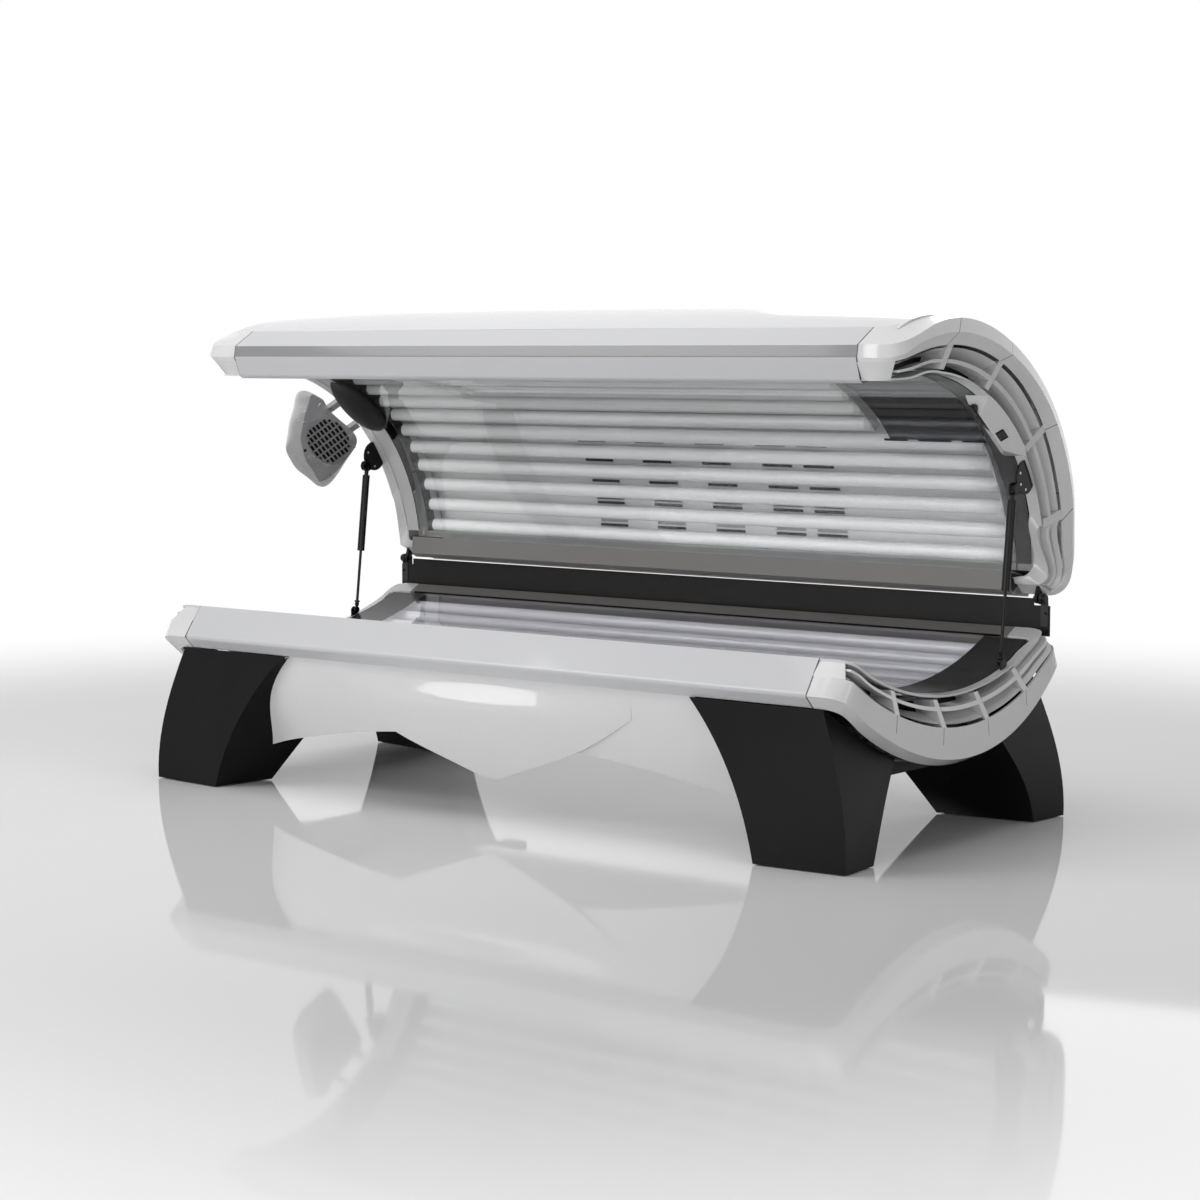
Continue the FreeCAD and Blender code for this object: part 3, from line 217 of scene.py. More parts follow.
def make_grain():
    """Pebbled grain of black moulded plastic or powder coat, with rubbed, lighter patches."""
    net, given, out = new_group(
        "black grain",
        [("Vector", None), ("Color", (0.03, 0.03, 0.03, 1)), ("Rubbed", (0.07, 0.07, 0.07, 1)),
         ("Rubbing", 0.5), ("Roughness", 0.4), ("Grain Scale", 700.0)], SURFACE)
    vector = given["Vector"]
    cells = net.add("ShaderNodeTexVoronoi", feature="SMOOTH_F1")
    net.feed(cells.inputs["Vector"], vector)
    net.feed(cells.inputs["Scale"], given["Grain Scale"])
    patches = net.noise(vector, scale=5.0, detail=5.0, roughness=0.65)
    share = net.math("MULTIPLY", net.span(patches, 0.45, 0.8), given["Rubbing"], clamp=True)
    net.feed(out["Color"], net.mix(share, given["Color"], given["Rubbed"]))
    rough = net.math("MULTIPLY_ADD", net.math("SUBTRACT", patches, 0.5), 0.25, given["Roughness"], clamp=True)
    net.feed(out["Roughness"], rough)
    net.feed(out["Height"], cells.outputs["Distance"])
    return net.tree


def make_seams():
    """Mask of the joint lines of an end cap: across its band in line with the ribs."""
    net, given, out = new_group(
        "cap seams",
        [("Vector", None), ("Inner Y", 0.10), ("Outer Y", 0.30), ("Lean", -0.18), ("Level", 0.3),
         ("Width", 0.0010), ("Joint X", 1.0), ("Joint Width", 0.0028), ("Reach", 9.0)],
        [("Mask", "NodeSocketFloat")])
    x, y, z = net.split(given["Vector"])
    run = net.math("MULTIPLY", net.math("SUBTRACT", z, given["Level"]), given["Lean"])
    aside = net.math("SUBTRACT", net.math("ABSOLUTE", y), run)
    inner = net.math("LESS_THAN", net.off(aside, given["Inner Y"]), given["Width"])
    outer = net.math("LESS_THAN", net.off(aside, given["Outer Y"]), given["Width"])
    radius = net.distance(y, net.math("SUBTRACT", z, END_AXIS_Z))
    near = net.math("LESS_THAN", radius, given["Reach"])
    across = net.math("MULTIPLY", net.math("MAXIMUM", inner, outer), near)
    joint = net.math("LESS_THAN", net.off(net.math("ABSOLUTE", x), given["Joint X"]), given["Joint Width"])
    net.feed(out["Mask"], net.math("MAXIMUM", across, joint))
    return net.tree


SKIN = make_skin()
DRAWN = make_drawn_lines()
GRAIN = make_grain()
SEAMS = make_seams()


def grey(value, warm=0.0):
    return (value * (1 + warm), value, value * (1 - warm), 1.0)


finishes = {}


class Finish:
    """One material with its Principled shader and the object's coordinates at hand."""

    def __init__(self, name, **constants):
        self.material = bpy.data.materials.new(name)
        finishes[name] = self.material
        self.material.use_nodes = True
        self.net = Net(self.material.node_tree)
        self.shader = self.material.node_tree.nodes["Principled BSDF"]
        self.coords = self.net.add("ShaderNodeTexCoord").outputs["Object"]
        for label, value in constants.items():
            self.shader.inputs[label.replace("_", " ")].default_value = value

    def set(self, **feeds):
        for label, value in feeds.items():
            self.net.feed(self.shader.inputs[label.replace("_", " ")], value)

    def rays(self):
        return self.net.add("ShaderNodeLightPath").outputs

    def give_way(self, share, kind):
        """Another kind of shader takes the Principled's place by the share."""
        other = self.net.add(kind)
        blend = self.net.add("ShaderNodeMixShader")
        self.net.feed(blend.inputs[0], share)
        self.net.feed(blend.inputs[1], self.shader.outputs[0])
        self.net.feed(blend.inputs[2], other.outputs[0])
        out = self.material.node_tree.nodes["Material Output"]
        self.net.feed(out.inputs["Surface"], blend.outputs[0])

    def fade_to_white(self, near, far):
        """Away from the bed the camera sees plain white, so the floor has no horizon."""
        x, y, z = self.net.split(self.coords)
        faded = self.net.span(self.net.distance(x, y), near, far, smooth=True)
        self.give_way(self.net.math("MULTIPLY", faded, self.rays()["Is Camera Ray"]), "ShaderNodeEmission")

    def pass_shadows(self):
        """Lets lamp light through clear sheet, as it would come through the real one."""
        self.give_way(self.rays()["Is Shadow Ray"], "ShaderNodeBsdfTransparent")

    def coat(self, effect, strength, depth, **values):
        """Lays one of the shared effects on the shader; strength and depth are its bump's."""
        given = self.net.group(effect, Vector=self.coords, **values)
        self.set(Base_Color=given["Color"], Roughness=given["Roughness"],
                 Normal=self.net.bump(given["Height"], strength, depth))


def closed_coords(finish):
    """Coordinates as if the canopy were closed, centred on the bed."""
    back = Matrix.Rotation(OPEN_ANGLE, 3, "X") @ HINGE
    offset = HINGE - back - SHIFT
    return finish.net.place(finish.coords, offset=offset, turn=(OPEN_ANGLE, 0, 0))


def base_coords(finish):
    return finish.net.place(finish.coords, offset=-SHIFT)


# --- finishes ------------------------------------------------------------------------------
WHITE = grey(0.80)
SEAM_GREY = grey(0.10)
JOINT_GREY = grey(0.03)
PEARL = (0.665, 0.667, 0.685, 1)
PEARL_DARK = (0.600, 0.602, 0.617, 1)
# painted shade for the downward-facing nose of the canopy's front rail, in two tones for its streaks
PAINTED_SHADE = grey(0.25)
PAINTED_SHADE_DARK = grey(0.22)
SHADE_BAND_LEVEL = 0.5825                       # painted shade: the darker band along the nose of the canopy's front rail, which faces down
SHADE_BAND_HALF = 0.0125
BASE_SEAMS = {"Inner_Y": 0.1017, "Outer_Y": 0.300, "Lean": -0.12, "Level": 0.27, "Reach": 0.833}
CANOPY_SEAMS = {"Inner_Y": 0.139, "Outer_Y": 0.3575, "Lean": 0.0, "Level": 0.85}
LAMP_DULL_FROM = 0.88                     # a tube's phosphor thins out towards its ends
LAMP_DULL_TO = 0.95


def white_gloss(name, colour, roughness=0.16, seams=None, coords=base_coords):
    """Glossy white moulding, with the dark joint lines of an end cap where seams are given."""
    finish = Finish(name, Coat_Weight=0.6, Coat_Roughness=0.04, IOR=1.5)
    net = finish.net
    skin = net.group(SKIN, Vector=finish.coords, Color=colour, Dust=grey(0.55, 0.03), Roughness=roughness)
    paint = skin["Color"]
    if seams:
        mask = net.group(SEAMS, Vector=coords(finish), **seams)["Mask"]
        paint = net.mix(mask, paint, SEAM_GREY)
    finish.set(Base_Color=paint, Roughness=skin["Roughness"], Normal=net.bump(skin["Height"], 0.05, 0.0006))


def end_joint(finish, colour):
    """The colour, dark in the joint at each end of a rail."""
    x = finish.net.split(base_coords(finish))[0]
    at_end = finish.net.math("GREATER_THAN", finish.net.math("ABSOLUTE", x), RAIL_HALF - RAIL_JOINT)
    return finish.net.mix(at_end, colour, JOINT_GREY)


def pearl_lacquer(name, shade_painted):
    """Pearl lacquer on an extrusion; on the canopy's front rail a band of painted shade darkens its
    downward-facing nose.
    """
    finish = Finish(name, Coat_Weight=0.5, Coat_Roughness=0.06)
    paint = end_joint(finish, PEARL)
    dark = end_joint(finish, PEARL_DARK)
    if shade_painted:
        # painted shade: the band at the nose's level is darkened
        level = finish.net.split(closed_coords(finish))[2]
        in_shade_band = finish.net.math("LESS_THAN", finish.net.off(level, SHADE_BAND_LEVEL), SHADE_BAND_HALF)
        paint = finish.net.mix(in_shade_band, paint, PAINTED_SHADE)
        dark = finish.net.mix(in_shade_band, dark, PAINTED_SHADE_DARK)
    finish.coat(DRAWN, 0.05, 0.0004, Color=paint, Dark=dark, Contrast=0.5, Roughness=0.24)


def clear_sheet(name, clean, hazy, haze):
    """Clear acrylic with patches that are hazy from wiping."""
    finish = Finish(name, Transmission_Weight=1.0, IOR=1.49)
    net = finish.net
    wiped = net.noise(net.place(finish.coords, scale=(3, 14, 14)), scale=3.0, detail=4.0, roughness=0.7)
    finish.set(Base_Color=net.mix(net.span(wiped, 0.4, 0.8), clean, hazy),
               Roughness=net.span(wiped, 0.5, 0.9, to_high=haze))
    finish.pass_shadows()


def two_tone(name, shader, relief, colour, dust, **values):
    """One tone at the canopy's foot end and another at its head end, in that order."""
    finish = Finish(name, **shader)
    net = finish.net
    head_end = net.math("GREATER_THAN", net.split(finish.coords)[0], 0.0)
    finish.coat(SKIN, *relief, Color=net.mix(head_end, grey(colour[0]), grey(colour[1])),
                Dust=net.mix(head_end, grey(dust[0]), grey(dust[1])), **values)


def phosphor_tube(name):
    """White phosphor seen through glass, uneven and duller towards the tube's ends."""
    finish = Finish(name, Coat_Weight=1.0, Coat_Roughness=0.02, IOR=1.5)
    net = finish.net
    from_middle = net.math("ABSOLUTE", net.split(base_coords(finish))[0])
    powder = net.noise(net.place(finish.coords, scale=(1, 6, 6)), scale=14.0, detail=3.0, roughness=0.6)
    white = net.mix(net.span(powder, 0.3, 0.7), grey(0.90), grey(0.85))
    dull = net.span(from_middle, LAMP_DULL_FROM, LAMP_DULL_TO, to_high=0.30, smooth=True)
    finish.set(Base_Color=net.mix(dull, white, grey(0.40)),
               Roughness=net.span(powder, 0.2, 0.8, to_low=0.18, to_high=0.3))


def coated(name, effect, strength, depth, shader, **values):
    """A finish that is one shared effect laid on a shader with these constants."""
    Finish(name, **shader).coat(effect, strength, depth, **values)


def build_finishes():
    """Every finish that the bed wears, by name."""
    white_gloss("white shell", WHITE)
    white_gloss("white skirt", grey(0.78), 0.20)
    white_gloss("white base cap", WHITE, seams=BASE_SEAMS)
    white_gloss("white canopy cap", WHITE, seams=CANOPY_SEAMS, coords=closed_coords)
    white_gloss("white louvre", grey(0.78), 0.24)
    white_gloss("white controls", grey(0.74), 0.22)
    pearl_lacquer("pearl rail", shade_painted=False)
    pearl_lacquer("shade-painted rail", shade_painted=True)
    coated("warm grey rail", DRAWN, 0.08, 0.0004, dict(Coat_Weight=0.3, Coat_Roughness=0.12),
           Color=grey(0.25, 0.03), Dark=grey(0.20, 0.03), Contrast=0.6, Roughness=0.34)

    clear_sheet("clear acrylic", (0.97, 0.98, 0.98, 1), (0.93, 0.94, 0.95, 1), 0.06)
    clear_sheet("bench sheet", (0.90, 0.90, 0.94, 1), (0.85, 0.85, 0.90, 1), 0.05)
    two_tone("two-tone panel", dict(Coat_Weight=0.5, Coat_Roughness=0.06, IOR=1.5), (0.03, 0.0005),
             colour=(0.66, 0.045), dust=(0.5, 0.12), Dust_Amount=0.25, Roughness=0.22)
    two_tone("two-tone socket", dict(IOR=1.5, Specular_IOR_Level=0.3), (0.1, 0.0004),
             colour=(0.035, 0.62), dust=(0.10, 0.4), Roughness=0.4)
    coated("smoked panel", SKIN, 0.03, 0.0005,
           dict(Coat_Weight=0.12, Coat_Roughness=0.08, IOR=1.5, Specular_IOR_Level=0.15),
           Color=grey(0.045), Dust=grey(0.12), Dust_Amount=0.25, Roughness=0.22)
    coated("filter glass", SKIN, 0.01, 0.0005,
           dict(Coat_Weight=0.35, Coat_Roughness=0.12, IOR=1.5, Specular_IOR_Level=0.3),
           Color=(0.018, 0.018, 0.020, 1), Dust=grey(0.08), Dust_Amount=0.15, Roughness=0.24)

    phosphor_tube("lamp tube")
    coated("lamp socket", SKIN, 0.1, 0.0004, dict(IOR=1.5), Color=grey(0.62), Dust=grey(0.4), Roughness=0.4)
    coated("bright sheet", DRAWN, 0.10, 0.0004, dict(Metallic=0.6),
           Color=grey(0.86), Dark=grey(0.76), Contrast=0.5, Roughness=0.26)
    coated("zinc steel", SKIN, 0.10, 0.0006, dict(Metallic=0.8),
           Color=grey(0.42), Dust=grey(0.3), Roughness=0.42)

    coated("black leg", GRAIN, 0.10, 0.0004, dict(IOR=1.5, Specular_IOR_Level=0.10),
           Color=grey(0.007), Rubbed=grey(0.012), Roughness=0.33)
    coated("black coat", GRAIN, 0.12, 0.0003, dict(IOR=1.5, Specular_IOR_Level=0.2),
           Color=grey(0.012), Rubbed=grey(0.02), Roughness=0.36, Grain_Scale=1100.0)
    coated("black lacquer", SKIN, 0.04, 0.0004,
           dict(Coat_Weight=0.12, Coat_Roughness=0.08, Specular_IOR_Level=0.12),
           Color=grey(0.006), Dust=grey(0.03), Roughness=0.22)
    coated("glide rubber", GRAIN, 0.3, 0.0004, dict(IOR=1.5),
           Color=grey(0.02), Rubbed=grey(0.05), Roughness=0.8)
    coated("soft black", GRAIN, 0.15, 0.0002, dict(IOR=1.5, Specular_IOR_Level=0.1),
           Color=grey(0.005), Rubbed=grey(0.010), Roughness=0.6)
    coated("nozzle plastic", GRAIN, 0.08, 0.0002, dict(IOR=1.5, Specular_IOR_Level=0.35),
           Color=grey(0.030, 0.03), Rubbed=grey(0.042, 0.03), Roughness=0.38, Grain_Scale=1600.0)
    coated("soft key", GRAIN, 0.15, 0.0002, dict(IOR=1.5),
           Color=grey(0.035), Rubbed=grey(0.06), Roughness=0.5, Grain_Scale=2500.0)

    coated("ground steel", DRAWN, 0.08, 0.0003, dict(Metallic=1.0),
           Color=grey(0.62), Dark=grey(0.45), Contrast=0.4, Roughness=0.18)
    coated("mirror chrome", DRAWN, 0.03, 0.0002, dict(Metallic=0.55, Coat_Weight=0.8, Coat_Roughness=0.03),
           Color=grey(0.92), Dark=grey(0.80), Contrast=0.3, Roughness=0.12)
    coated("silver lacquer", SKIN, 0.05, 0.0005, dict(Metallic=0.35, Coat_Weight=0.8, Coat_Roughness=0.05),
           Color=grey(0.46), Dust=grey(0.35), Roughness=0.26)
    coated("grille lacquer", SKIN, 0.05, 0.0005, dict(Metallic=0.3, Coat_Weight=0.5, Coat_Roughness=0.1),
           Color=grey(0.36), Dust=grey(0.25), Roughness=0.3)
    coated("pale plastic", SKIN, 0.05, 0.0003, dict(IOR=1.5),
           Color=grey(0.62), Dust=grey(0.45), Roughness=0.35)


build_finishes()

DRESS = {
    "white shell": ("canopy_shell", "belly_pan"),
    "white skirt": ("front_skirt",),
    "white base cap": ("base_right_cap", "base_left_cap"),
    "white canopy cap": ("canopy_right_cap", "canopy_left_cap"),
    "white louvre": ("base_right_louvre", "base_left_louvre", "canopy_right_louvre", "canopy_left_louvre"),
    "white controls": ("control_pod",),
    "pearl rail": ("base_front_rail",),
    "shade-painted rail": ("canopy_front_rail",),
    "warm grey rail": ("base_rear_rail", "canopy_rear_rail"),
    "clear acrylic": ("canopy_acrylic",),
    "bench sheet": ("bench_acrylic",),
    "smoked panel": ("base_end_panels",),
    "two-tone panel": ("canopy_end_panels",),
    "filter glass": ("face_filter",),
    "lamp tube": ("base_lamps", "canopy_lamps", "canopy_short_lamps"),
    "lamp socket": ("base_lampholders",),
    "two-tone socket": ("canopy_lampholders",),
    "bright sheet": ("base_reflector", "canopy_reflector", "face_lamps"),
    "zinc steel": ("base_frame", "canopy_frame", "base_ballasts", "canopy_ballasts"),
    "black leg": ("left_leg_arch", "right_leg_arch", "base_fan_housing", "power_inlet", "base_filters",
                  "canopy_filters"),
    "glide rubber": ("leg_glides",),
    "black coat": ("rear_panel", "hinge_posts", "hinge_pins", "hinge_arms", "strut_studs", "base_fan_rotor",
                   "pod_fan_rotor"),
    "black lacquer": ("strut_brackets", "fan_nozzle", "left_strut_cylinder", "right_strut_cylinder",
                      "left_strut_rod", "right_strut_rod"),
    "silver lacquer": ("fan_pod",),
    "grille lacquer": ("fan_grille",),
    "soft key": ("key_1", "key_2", "key_3", "key_4", "start_key"),
}
for finish_name, wearers in DRESS.items():
    for wearer in wearers:
        nodes[wearer].data.materials.clear()
        nodes[wearer].data.materials.append(finishes[finish_name])


# --- small parts ---------------------------------------------------------------------------
def on_tunnel(x, radius, degrees):
    """Place in the canopy's tunnel: X along the bed, Z away from the tunnel's axis."""
    return CANOPY @ moved(0, 0, TUNNEL_Z) @ tipped(-degrees) @ moved(x, 0, radius)


def block(mesh, place, size, soft=0.0004):
    """Adds a box with rounded edges; size is its length along each axis."""
    stretch = Matrix.Diagonal((*size, 1.0))
    made = bmesh.ops.create_cube(mesh, size=1.0, matrix=place @ stretch)
    edges = list({edge for vert in made["verts"] for edge in vert.link_edges})
    bmesh.ops.bevel(mesh, geom=edges, offset=soft, segments=2, profile=0.5, affect="EDGES", material=-1)


def turned(mesh, place, outline, steps=28):
    """Adds a solid of revolution round the place's Z; outline is (radius, height), pole to pole."""
    part = bmesh.new()
    verts = [part.verts.new((radius, 0, height)) for radius, height in outline]
    edges = [part.edges.new(pair) for pair in zip(verts, verts[1:])]
    bmesh.ops.spin(part, geom=verts + edges, cent=(0, 0, 0), axis=(0, 0, 1), angle=math.tau, steps=steps,
                   use_merge=True)
    bmesh.ops.remove_doubles(part, verts=part.verts, dist=1e-6)
    bmesh.ops.transform(part, matrix=place, verts=part.verts)
    carrier = bpy.data.meshes.new("turned")
    part.to_mesh(carrier)
    part.free()
    mesh.from_mesh(carrier)
    bpy.data.meshes.remove(carrier)


def finish_piece(name, mesh, body, finish):
    """Makes the mesh an object that rides on a body and wears a finish."""
    bmesh.ops.remove_doubles(mesh, verts=mesh.verts, dist=1e-6)
    bmesh.ops.recalc_face_normals(mesh, faces=mesh.faces)
    data = bpy.data.meshes.new(name)
    mesh.to_mesh(data)
    mesh.free()
    data.materials.append(finishes[finish])
    piece = bpy.data.objects.new(name, data)
    bpy.context.scene.collection.objects.link(piece)
    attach(piece, body)
    return piece


# painted shade: black strips where the cooling slots open between the lamps
SLOT_RUNS = ((-0.352, -0.256), (-0.152, -0.055), (0.048, 0.144), (0.246, 0.341), (0.377, 0.472))
FIRST_ROW_RUN = (0.511, 0.603)            # the row nearest the front has one slot more
SLOT_ROWS = 6
SLOT_SHARE = 0.70                         # of the way from one lamp to the next
SLOT_RADIUS = 0.6055
SLOT_SECTION = (0.008, 0.0012)
SLOT_SOFT = 0.0003


def slot_shade_strips():
    """Black strips at the pressed cooling slots between the lamps of the tunnel: painted shade of the slots'
    dark openings.
    """
    mesh = bmesh.new()
    for row in range(1, SLOT_ROWS + 1):
        runs = SLOT_RUNS + (FIRST_ROW_RUN,) if row == 1 else SLOT_RUNS
        for start, end in runs:
            place = on_tunnel((start + end) / 2, SLOT_RADIUS, LAMP_PITCH * (row + SLOT_SHARE))
            block(mesh, place, (end - start, *SLOT_SECTION), SLOT_SOFT)
    finish_piece("slot_shade_strips", mesh, "canopy", "soft black")


NOZZLE_PLACE = (-1.012, 0.541, -3)        # x, radius and angle in the tunnel
NOZZLE_HALF = (0.046, 0.124, 0.043)
NOZZLE_FLAT = -0.010                      # the flat outboard side, from its middle
NOZZLE_WALL = 0.004
NOZZLE_RECESS = 0.0015


def nozzle_dome():
    """Air outlet of the body fan: a dark dome lying against the tunnel's foot end."""
    mesh = bmesh.new()
    bmesh.ops.create_uvsphere(mesh, u_segments=48, v_segments=28, radius=1.0,
                              matrix=Matrix.Diagonal((*NOZZLE_HALF, 1.0)))
    cut = bmesh.ops.bisect_plane(mesh, geom=mesh.verts[:] + mesh.edges[:] + mesh.faces[:],
                                 plane_co=(NOZZLE_FLAT, 0, 0), plane_no=(1, 0, 0), clear_inner=True)
    rim = [item for item in cut["geom_cut"] if isinstance(item, bmesh.types.BMEdge)]
    flat = bmesh.ops.edgeloop_fill(mesh, edges=rim)["faces"]
    bmesh.ops.inset_region(mesh, faces=flat, thickness=NOZZLE_WALL, depth=-NOZZLE_RECESS)
    bmesh.ops.transform(mesh, matrix=on_tunnel(*NOZZLE_PLACE), verts=mesh.verts)
    dome = finish_piece("nozzle_dome", mesh, "canopy", "nozzle plastic")
    for face in dome.data.polygons:
        face.use_smooth = True
    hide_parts("fan_nozzle")


TANNER_ROWS = (-2, -1, 0, 1)              # lamp pitches from the top of the tunnel
TANNER_X = 0.652
TANNER_OUTLINE = ((0, -0.018), (0.009, -0.018), (0.0125, -0.014), (0.0125, -0.004), (0.0165, 0.0),
                  (0.0175, 0.006), (0.013, 0.010), (0.012, 0.014), (0.015, 0.017), (0.0145, 0.020),
                  (0, 0.021))


def tanner_sockets():
    """Bright lamp holders at the inner end of the facial tanner's lamps."""
    mesh = bmesh.new()
    for row in TANNER_ROWS:
        turned(mesh, on_tunnel(TANNER_X, LAMP_RADIUS, LAMP_PITCH * row) @ Z_ONTO_X, TANNER_OUTLINE)
    finish_piece("tanner_sockets", mesh, "canopy", "mirror chrome")


FILTER_EDGE = (0.845, 0.5575, 9.75)       # middle of the edge strip: x, radius, angle
EDGE_SIZE = (0.290, 0.006, 0.003)
CLIP_SIZE = (0.030, 0.0075, 0.0045)
CLIP_X = (0.785, 0.910)


def filter_edge():
    """Black strip along the lower edge of the facial filter, with its two pale clips."""
    strip = bmesh.new()
    x, radius, angle = FILTER_EDGE
    block(strip, on_tunnel(x, radius, angle), EDGE_SIZE)
    finish_piece("filter_edge", strip, "canopy", "soft black")
    clips = bmesh.new()
    for x in CLIP_X:
        block(clips, on_tunnel(x, radius, angle), CLIP_SIZE)
    finish_piece("filter_clips", clips, "canopy", "pale plastic")


BRACKET_ANGLE = 19.14
BRACKET_RADIUS = 0.530
BRACKET_FACES = (1.077, 1.082)
BRACKET_SCREWS = (-55, 0, 55)             # degrees round the bracket's eye
BRACKET_REACH = 0.030
SCREW_RADIUS = 0.0035
SCREW_HEIGHT = 0.002


def screw_outline(radius, height):
    """Round head, slightly domed, with a small recess in the middle."""
    return ((0, height * 0.45), (radius * 0.3, height * 0.45), (radius * 0.38, height),
            (radius * 0.75, height), (radius, height * 0.5), (radius, 0), (0, 0))


def bracket_screws():
    """Screws that hold the strut brackets, on both faces of each plate."""
    mesh = bmesh.new()
    for side in (-1, 1):
        for face, outward in zip(BRACKET_FACES, (-side, side)):
            eye = on_tunnel(side * face, BRACKET_RADIUS, BRACKET_ANGLE)
            for degrees in BRACKET_SCREWS:
                turn = math.radians(degrees)
                place = eye @ moved(0, BRACKET_REACH * math.sin(turn), -BRACKET_REACH * math.cos(turn))
                turned(mesh, place @ Matrix.Rotation(outward * math.pi / 2, 4, "Y"),
                       screw_outline(SCREW_RADIUS, SCREW_HEIGHT), 16)
    finish_piece("bracket_screws", mesh, "canopy", "ground steel")


POD_BOSS = (0.0169, -0.0822)              # places on the pod's face, across and along
POD_HOLE = (0.1348, 0.0087)
POD_SCREW = (0.0144, 0.0961)
POD_SCREW_RADIUS = 0.0045
POD_SCREW_HEIGHT = 0.0014
BOSS_OUTLINE = ((0, 0.0009), (0.008, 0.0009), (0.0088, 0.0004), (0.0098, 0.0014), (0.011, 0.0006),
                (0.011, 0), (0, 0))
HOLE_OUTLINE = ((0, 0.0003), (0.0042, 0.0003), (0.0048, 0), (0, 0))
GAUZE_MIDDLE = (0.064, 0.030, -0.0045)
GAUZE_SIZE = (0.056, 0.084, 0.0004)


def pod_details():
    """Boss, key hole and screw on the pod's face, and the black gauze in its grille."""
    boss = bmesh.new()
    turned(boss, POD @ moved(*POD_BOSS, 0), BOSS_OUTLINE)
    finish_piece("pod_boss", boss, "canopy", "silver lacquer")
    gauze = bmesh.new()
    turned(gauze, POD @ moved(*POD_HOLE, 0), HOLE_OUTLINE)
    bmesh.ops.create_cone(gauze, cap_ends=True, segments=64, radius1=1, radius2=0.99, depth=1,
                          matrix=POD @ moved(*GAUZE_MIDDLE) @ Matrix.Diagonal((*GAUZE_SIZE, 1)))
    finish_piece("pod_gauze", gauze, "canopy", "soft black")
    screw = bmesh.new()
    turned(screw, POD @ moved(*POD_SCREW, 0), screw_outline(POD_SCREW_RADIUS, POD_SCREW_HEIGHT), 20)
    finish_piece("pod_screw", screw, "canopy", "ground steel")


def on_console(a, b, y, share):
    """Place on the console's slanted face between a and b (x, z): X up the slope, Z out of it."""
    ax, az = a
    bx, bz = b
    slope = Vector((bx - ax, 0, bz - az)).normalized()
    normal = Vector((slope.z, 0, -slope.x))
    spot = Vector((ax + (bx - ax) * share, y, az + (bz - az) * share))
    turn = Matrix((slope, normal.cross(slope), normal)).transposed().to_4x4()
    return CANOPY @ moved(*spot) @ turn


CONSOLE_OUTER = (1.098, 0.757)
CONSOLE_RIDGE = (1.062, 0.727)
CONSOLE_INNER = (1.036, 0.741)
KEY_MIDDLE_Y = -0.051
KEY_PITCH = 0.022
START_KEY_Y = 0.026
START_KEY_SHARE = 0.36                    # of the way up its face
KEY_EDGE_OFF = 0.0098                     # how far a surround's strips lie from its middle
KEY_EDGE = (0.0036, 0.092)
KEY_BAR = (0.017, 0.0045)
START_EDGE_OFF = 0.0092
START_EDGE = (0.0030, 0.034)
START_BAR_OFF = 0.0150
START_BAR = (0.0160, 0.0040)
BEZEL_THICK = 0.0008
BEZEL_LIFT = 0.0003
BEZEL_SOFT = 0.0002


def console_bezels():
    """Dark surrounds of the four keys and of the start key."""
    mesh = bmesh.new()

    def strip(face, across, along, size):
        block(mesh, face @ moved(across, along, BEZEL_LIFT), (*size, BEZEL_THICK), BEZEL_SOFT)

    keys = on_console(CONSOLE_INNER, CONSOLE_RIDGE, KEY_MIDDLE_Y, 0.5)
    for edge in (-1, 1):
        strip(keys, edge * KEY_EDGE_OFF, 0, KEY_EDGE)
    for step in (-2, -1, 0, 1, 2):
        strip(keys, 0, step * KEY_PITCH, KEY_BAR)
    start = on_console(CONSOLE_RIDGE, CONSOLE_OUTER, START_KEY_Y, START_KEY_SHARE)
    for edge in (-1, 1):
        strip(start, edge * START_EDGE_OFF, 0, START_EDGE)
        strip(start, 0, edge * START_BAR_OFF, START_BAR)
    finish_piece("console_bezels", mesh, "canopy", "soft black")


PANEL_PLATE = (1.0708, 0.4561, 0.5055)
PLATE_SIZE = (0.020, 0.0018, 0.058)
PLATE_SCREW = 0.004                       # the screw's place outboard of the middle and above it
PLATE_SCREW_HEIGHT = 0.0015


def panel_plates():
    """End plates of the back panel, each with the head of its screw."""
    plates = bmesh.new()
    heads = bmesh.new()
    x, y, z = PANEL_PLATE
    for side in (-1, 1):
        block(plates, BASE @ moved(side * x, y, z), PLATE_SIZE)
        head = BASE @ moved(side * (x + PLATE_SCREW), y - PLATE_SIZE[1] / 2, z + PLATE_SCREW)
        turned(heads, head @ Z_ONTO_FRONT, screw_outline(SCREW_RADIUS, PLATE_SCREW_HEIGHT), 16)
    finish_piece("panel_plates", plates, "base", "nozzle plastic")
    finish_piece("panel_screws", heads, "base", "soft black")


STRUT_X = 1.070
STRUT_LOW = (0.244, 0.407)                # y and z of the lower ball, as drawn
STRUT_LEAN = math.degrees(math.atan2(0.049, 0.417))
COLLAR_OUTLINE = ((0, 0.011), (0.0060, 0.012), (0.0064, 0.018), (0.0050, 0.021), (0.0078, 0.0225),
                  (0.0078, 0.0265), (0.0050, 0.0275), (0, 0.028))


def strut_collars():
    """Lock nut and tapered eye at the lower end of each strut's rod."""
    for side, body in ((-1, "left_rod"), (1, "right_rod")):
        mesh = bmesh.new()
        ball = BASE @ moved(side * STRUT_X, *STRUT_LOW)
        turned(mesh, ball @ tipped(-STRUT_LEAN), COLLAR_OUTLINE, 20)
        finish_piece(body + "_collar", mesh, body, "black lacquer")


BENCH_EDGE = (0.3965, 0.4528)             # y and z of the bench sheet's long edges
BENCH_TILT = 26.2
GASKET_SIZE = (1.96, 0.005, 0.004)


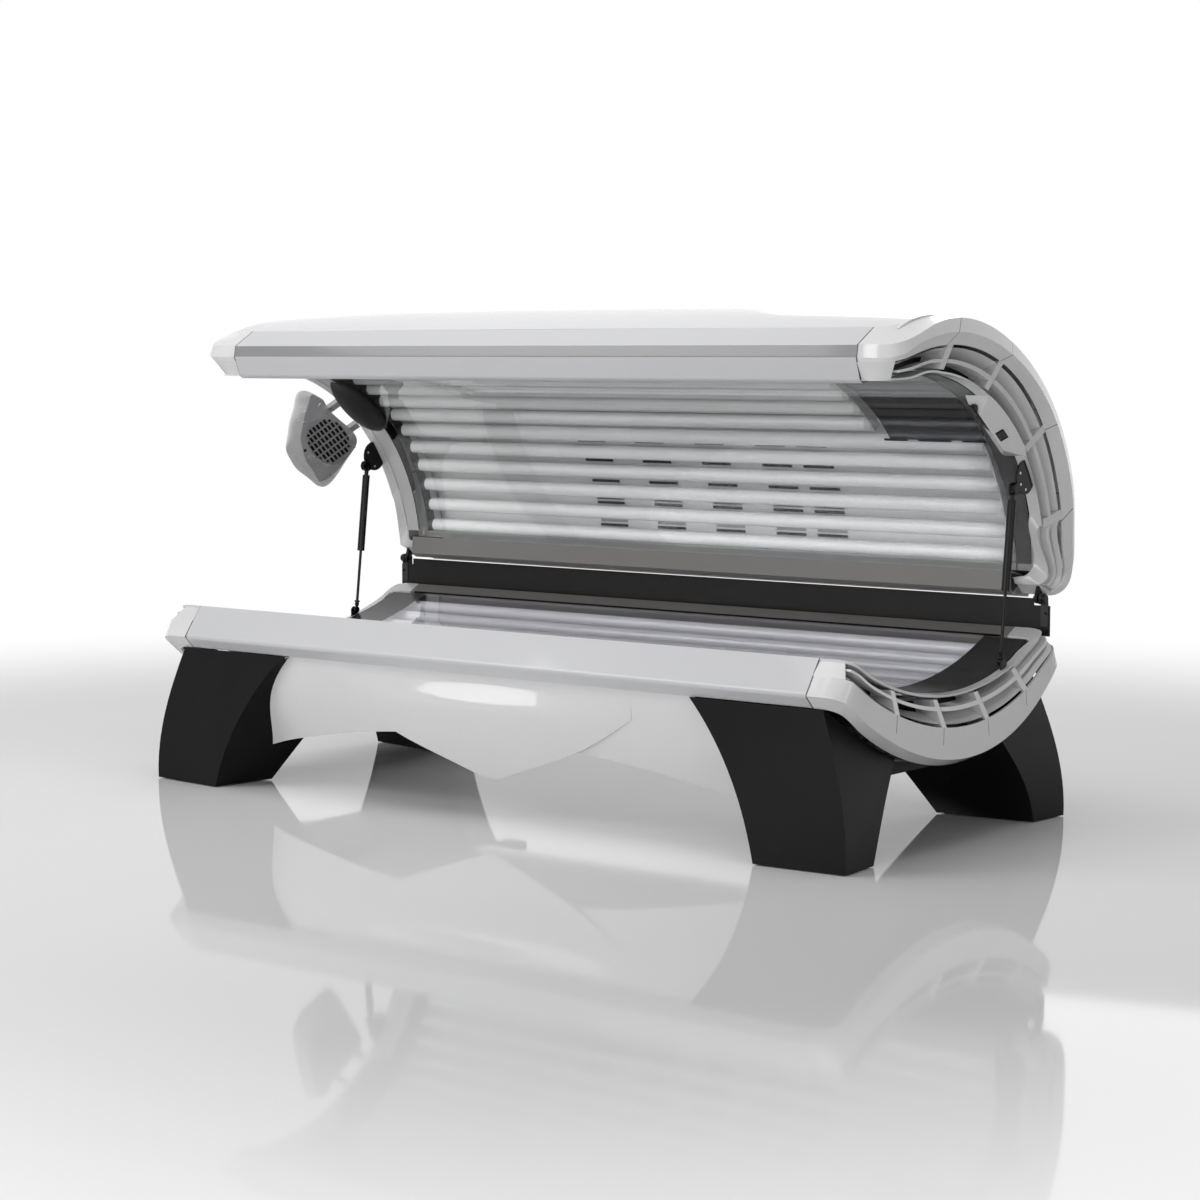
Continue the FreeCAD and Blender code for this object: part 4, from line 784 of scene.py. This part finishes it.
def bench_gaskets():
    """Black seals between the bench sheet and the two rails."""
    mesh = bmesh.new()
    y, z = BENCH_EDGE
    for side in (-1, 1):
        block(mesh, BASE @ moved(0, side * y, z) @ tipped(side * BENCH_TILT), GASKET_SIZE)
    finish_piece("bench_gaskets", mesh, "base", "soft black")


slot_shade_strips()
nozzle_dome()
tanner_sockets()
filter_edge()
bracket_screws()
pod_details()
console_bezels()
panel_plates()
strut_collars()
bench_gaskets()


# --- floor, light and camera ---------------------------------------------------------------
FLOOR_HALF = 40.0
FADE_NEAR = 2.2
FADE_FAR = 4.5
WORLD_LIGHT = 0.16                        # what the world sheds; to the eye and in gloss it is 1


def build_floor():
    mesh = bmesh.new()
    bmesh.ops.create_grid(mesh, x_segments=1, y_segments=1, size=FLOOR_HALF)
    data = bpy.data.meshes.new("studio floor")
    mesh.to_mesh(data)
    mesh.free()
    floor = bpy.data.objects.new("studio_floor", data)
    bpy.context.scene.collection.objects.link(floor)

    finish = Finish("studio floor", IOR=1.4, Specular_IOR_Level=0.13)
    net = finish.net
    cloud = net.noise(finish.coords, scale=0.6)
    seen = net.mix(cloud, grey(0.95), grey(0.97))
    finish.set(Base_Color=net.mix(finish.rays()["Is Camera Ray"], grey(0.92), seen),
               Roughness=net.span(cloud, 0.3, 0.7, to_low=0.03, to_high=0.05))
    finish.fade_to_white(FADE_NEAR, FADE_FAR)
    floor.data.materials.append(finish.material)


def build_world():
    world = bpy.data.worlds.new("studio")
    bpy.context.scene.world = world
    world.use_nodes = True
    net = Net(world.node_tree)
    sky = world.node_tree.nodes["Background"]
    rays = net.add("ShaderNodeLightPath").outputs
    seen = net.math("MAXIMUM", rays["Is Camera Ray"], rays["Is Glossy Ray"])
    seen = net.math("MAXIMUM", seen, rays["Is Transmission Ray"])
    sky.inputs["Color"].default_value = (1, 1, 1, 1)
    net.feed(sky.inputs["Strength"], net.span(seen, 0.0, 1.0, to_low=WORLD_LIGHT))


def soft_lamp(name, place, aim, width, height, watts):
    """A soft box of these sides at a place, turned towards its aim."""
    data = bpy.data.lights.new(name, "AREA")
    data.shape = "RECTANGLE"
    data.size = width
    data.size_y = height
    data.energy = watts
    lamp = bpy.data.objects.new(name, data)
    bpy.context.scene.collection.objects.link(lamp)
    lamp.location = place
    lamp.rotation_euler = (Vector(aim) - Vector(place)).to_track_quat("-Z", "Y").to_euler()


CAMERA_PLACE = Vector((4.2902, -5.3856, 1.1517)) + SHIFT
CAMERA_DOWN = 5.291                       # degrees below the level
CAMERA_TURN = 38.358
CAMERA_LENS = 80.04
CAMERA_SENSOR = 36


def build_camera():
    data = bpy.data.cameras.new("camera")
    data.lens = CAMERA_LENS
    data.sensor_width = CAMERA_SENSOR
    camera = bpy.data.objects.new("camera", data)
    bpy.context.scene.collection.objects.link(camera)
    camera.location = CAMERA_PLACE
    camera.rotation_euler = (math.radians(90 - CAMERA_DOWN), 0, math.radians(CAMERA_TURN))
    bpy.context.scene.camera = camera


build_floor()
build_world()
soft_lamp("overhead", (0.3, -0.4, 3.4), (0.1, 0.0, 0.5), 4.0, 2.0, 42)
soft_lamp("key", (-2.6, -3.6, 3.2), (0, 0, 0.6), 2.2, 2.2, 56)
soft_lamp("side", (4.6, -1.6, 1.6), (0, 0, 0.6), 2.0, 2.0, 16)
soft_lamp("front", (0.4, -4.6, 0.9), (0, 0.3, 0.8), 3.4, 1.4, 46)
soft_lamp("back", (-1.0, 4.6, 2.6), (0, 0.2, 0.6), 3.0, 2.0, 30)
build_camera()
bpy.context.scene.view_settings.view_transform = "Standard"
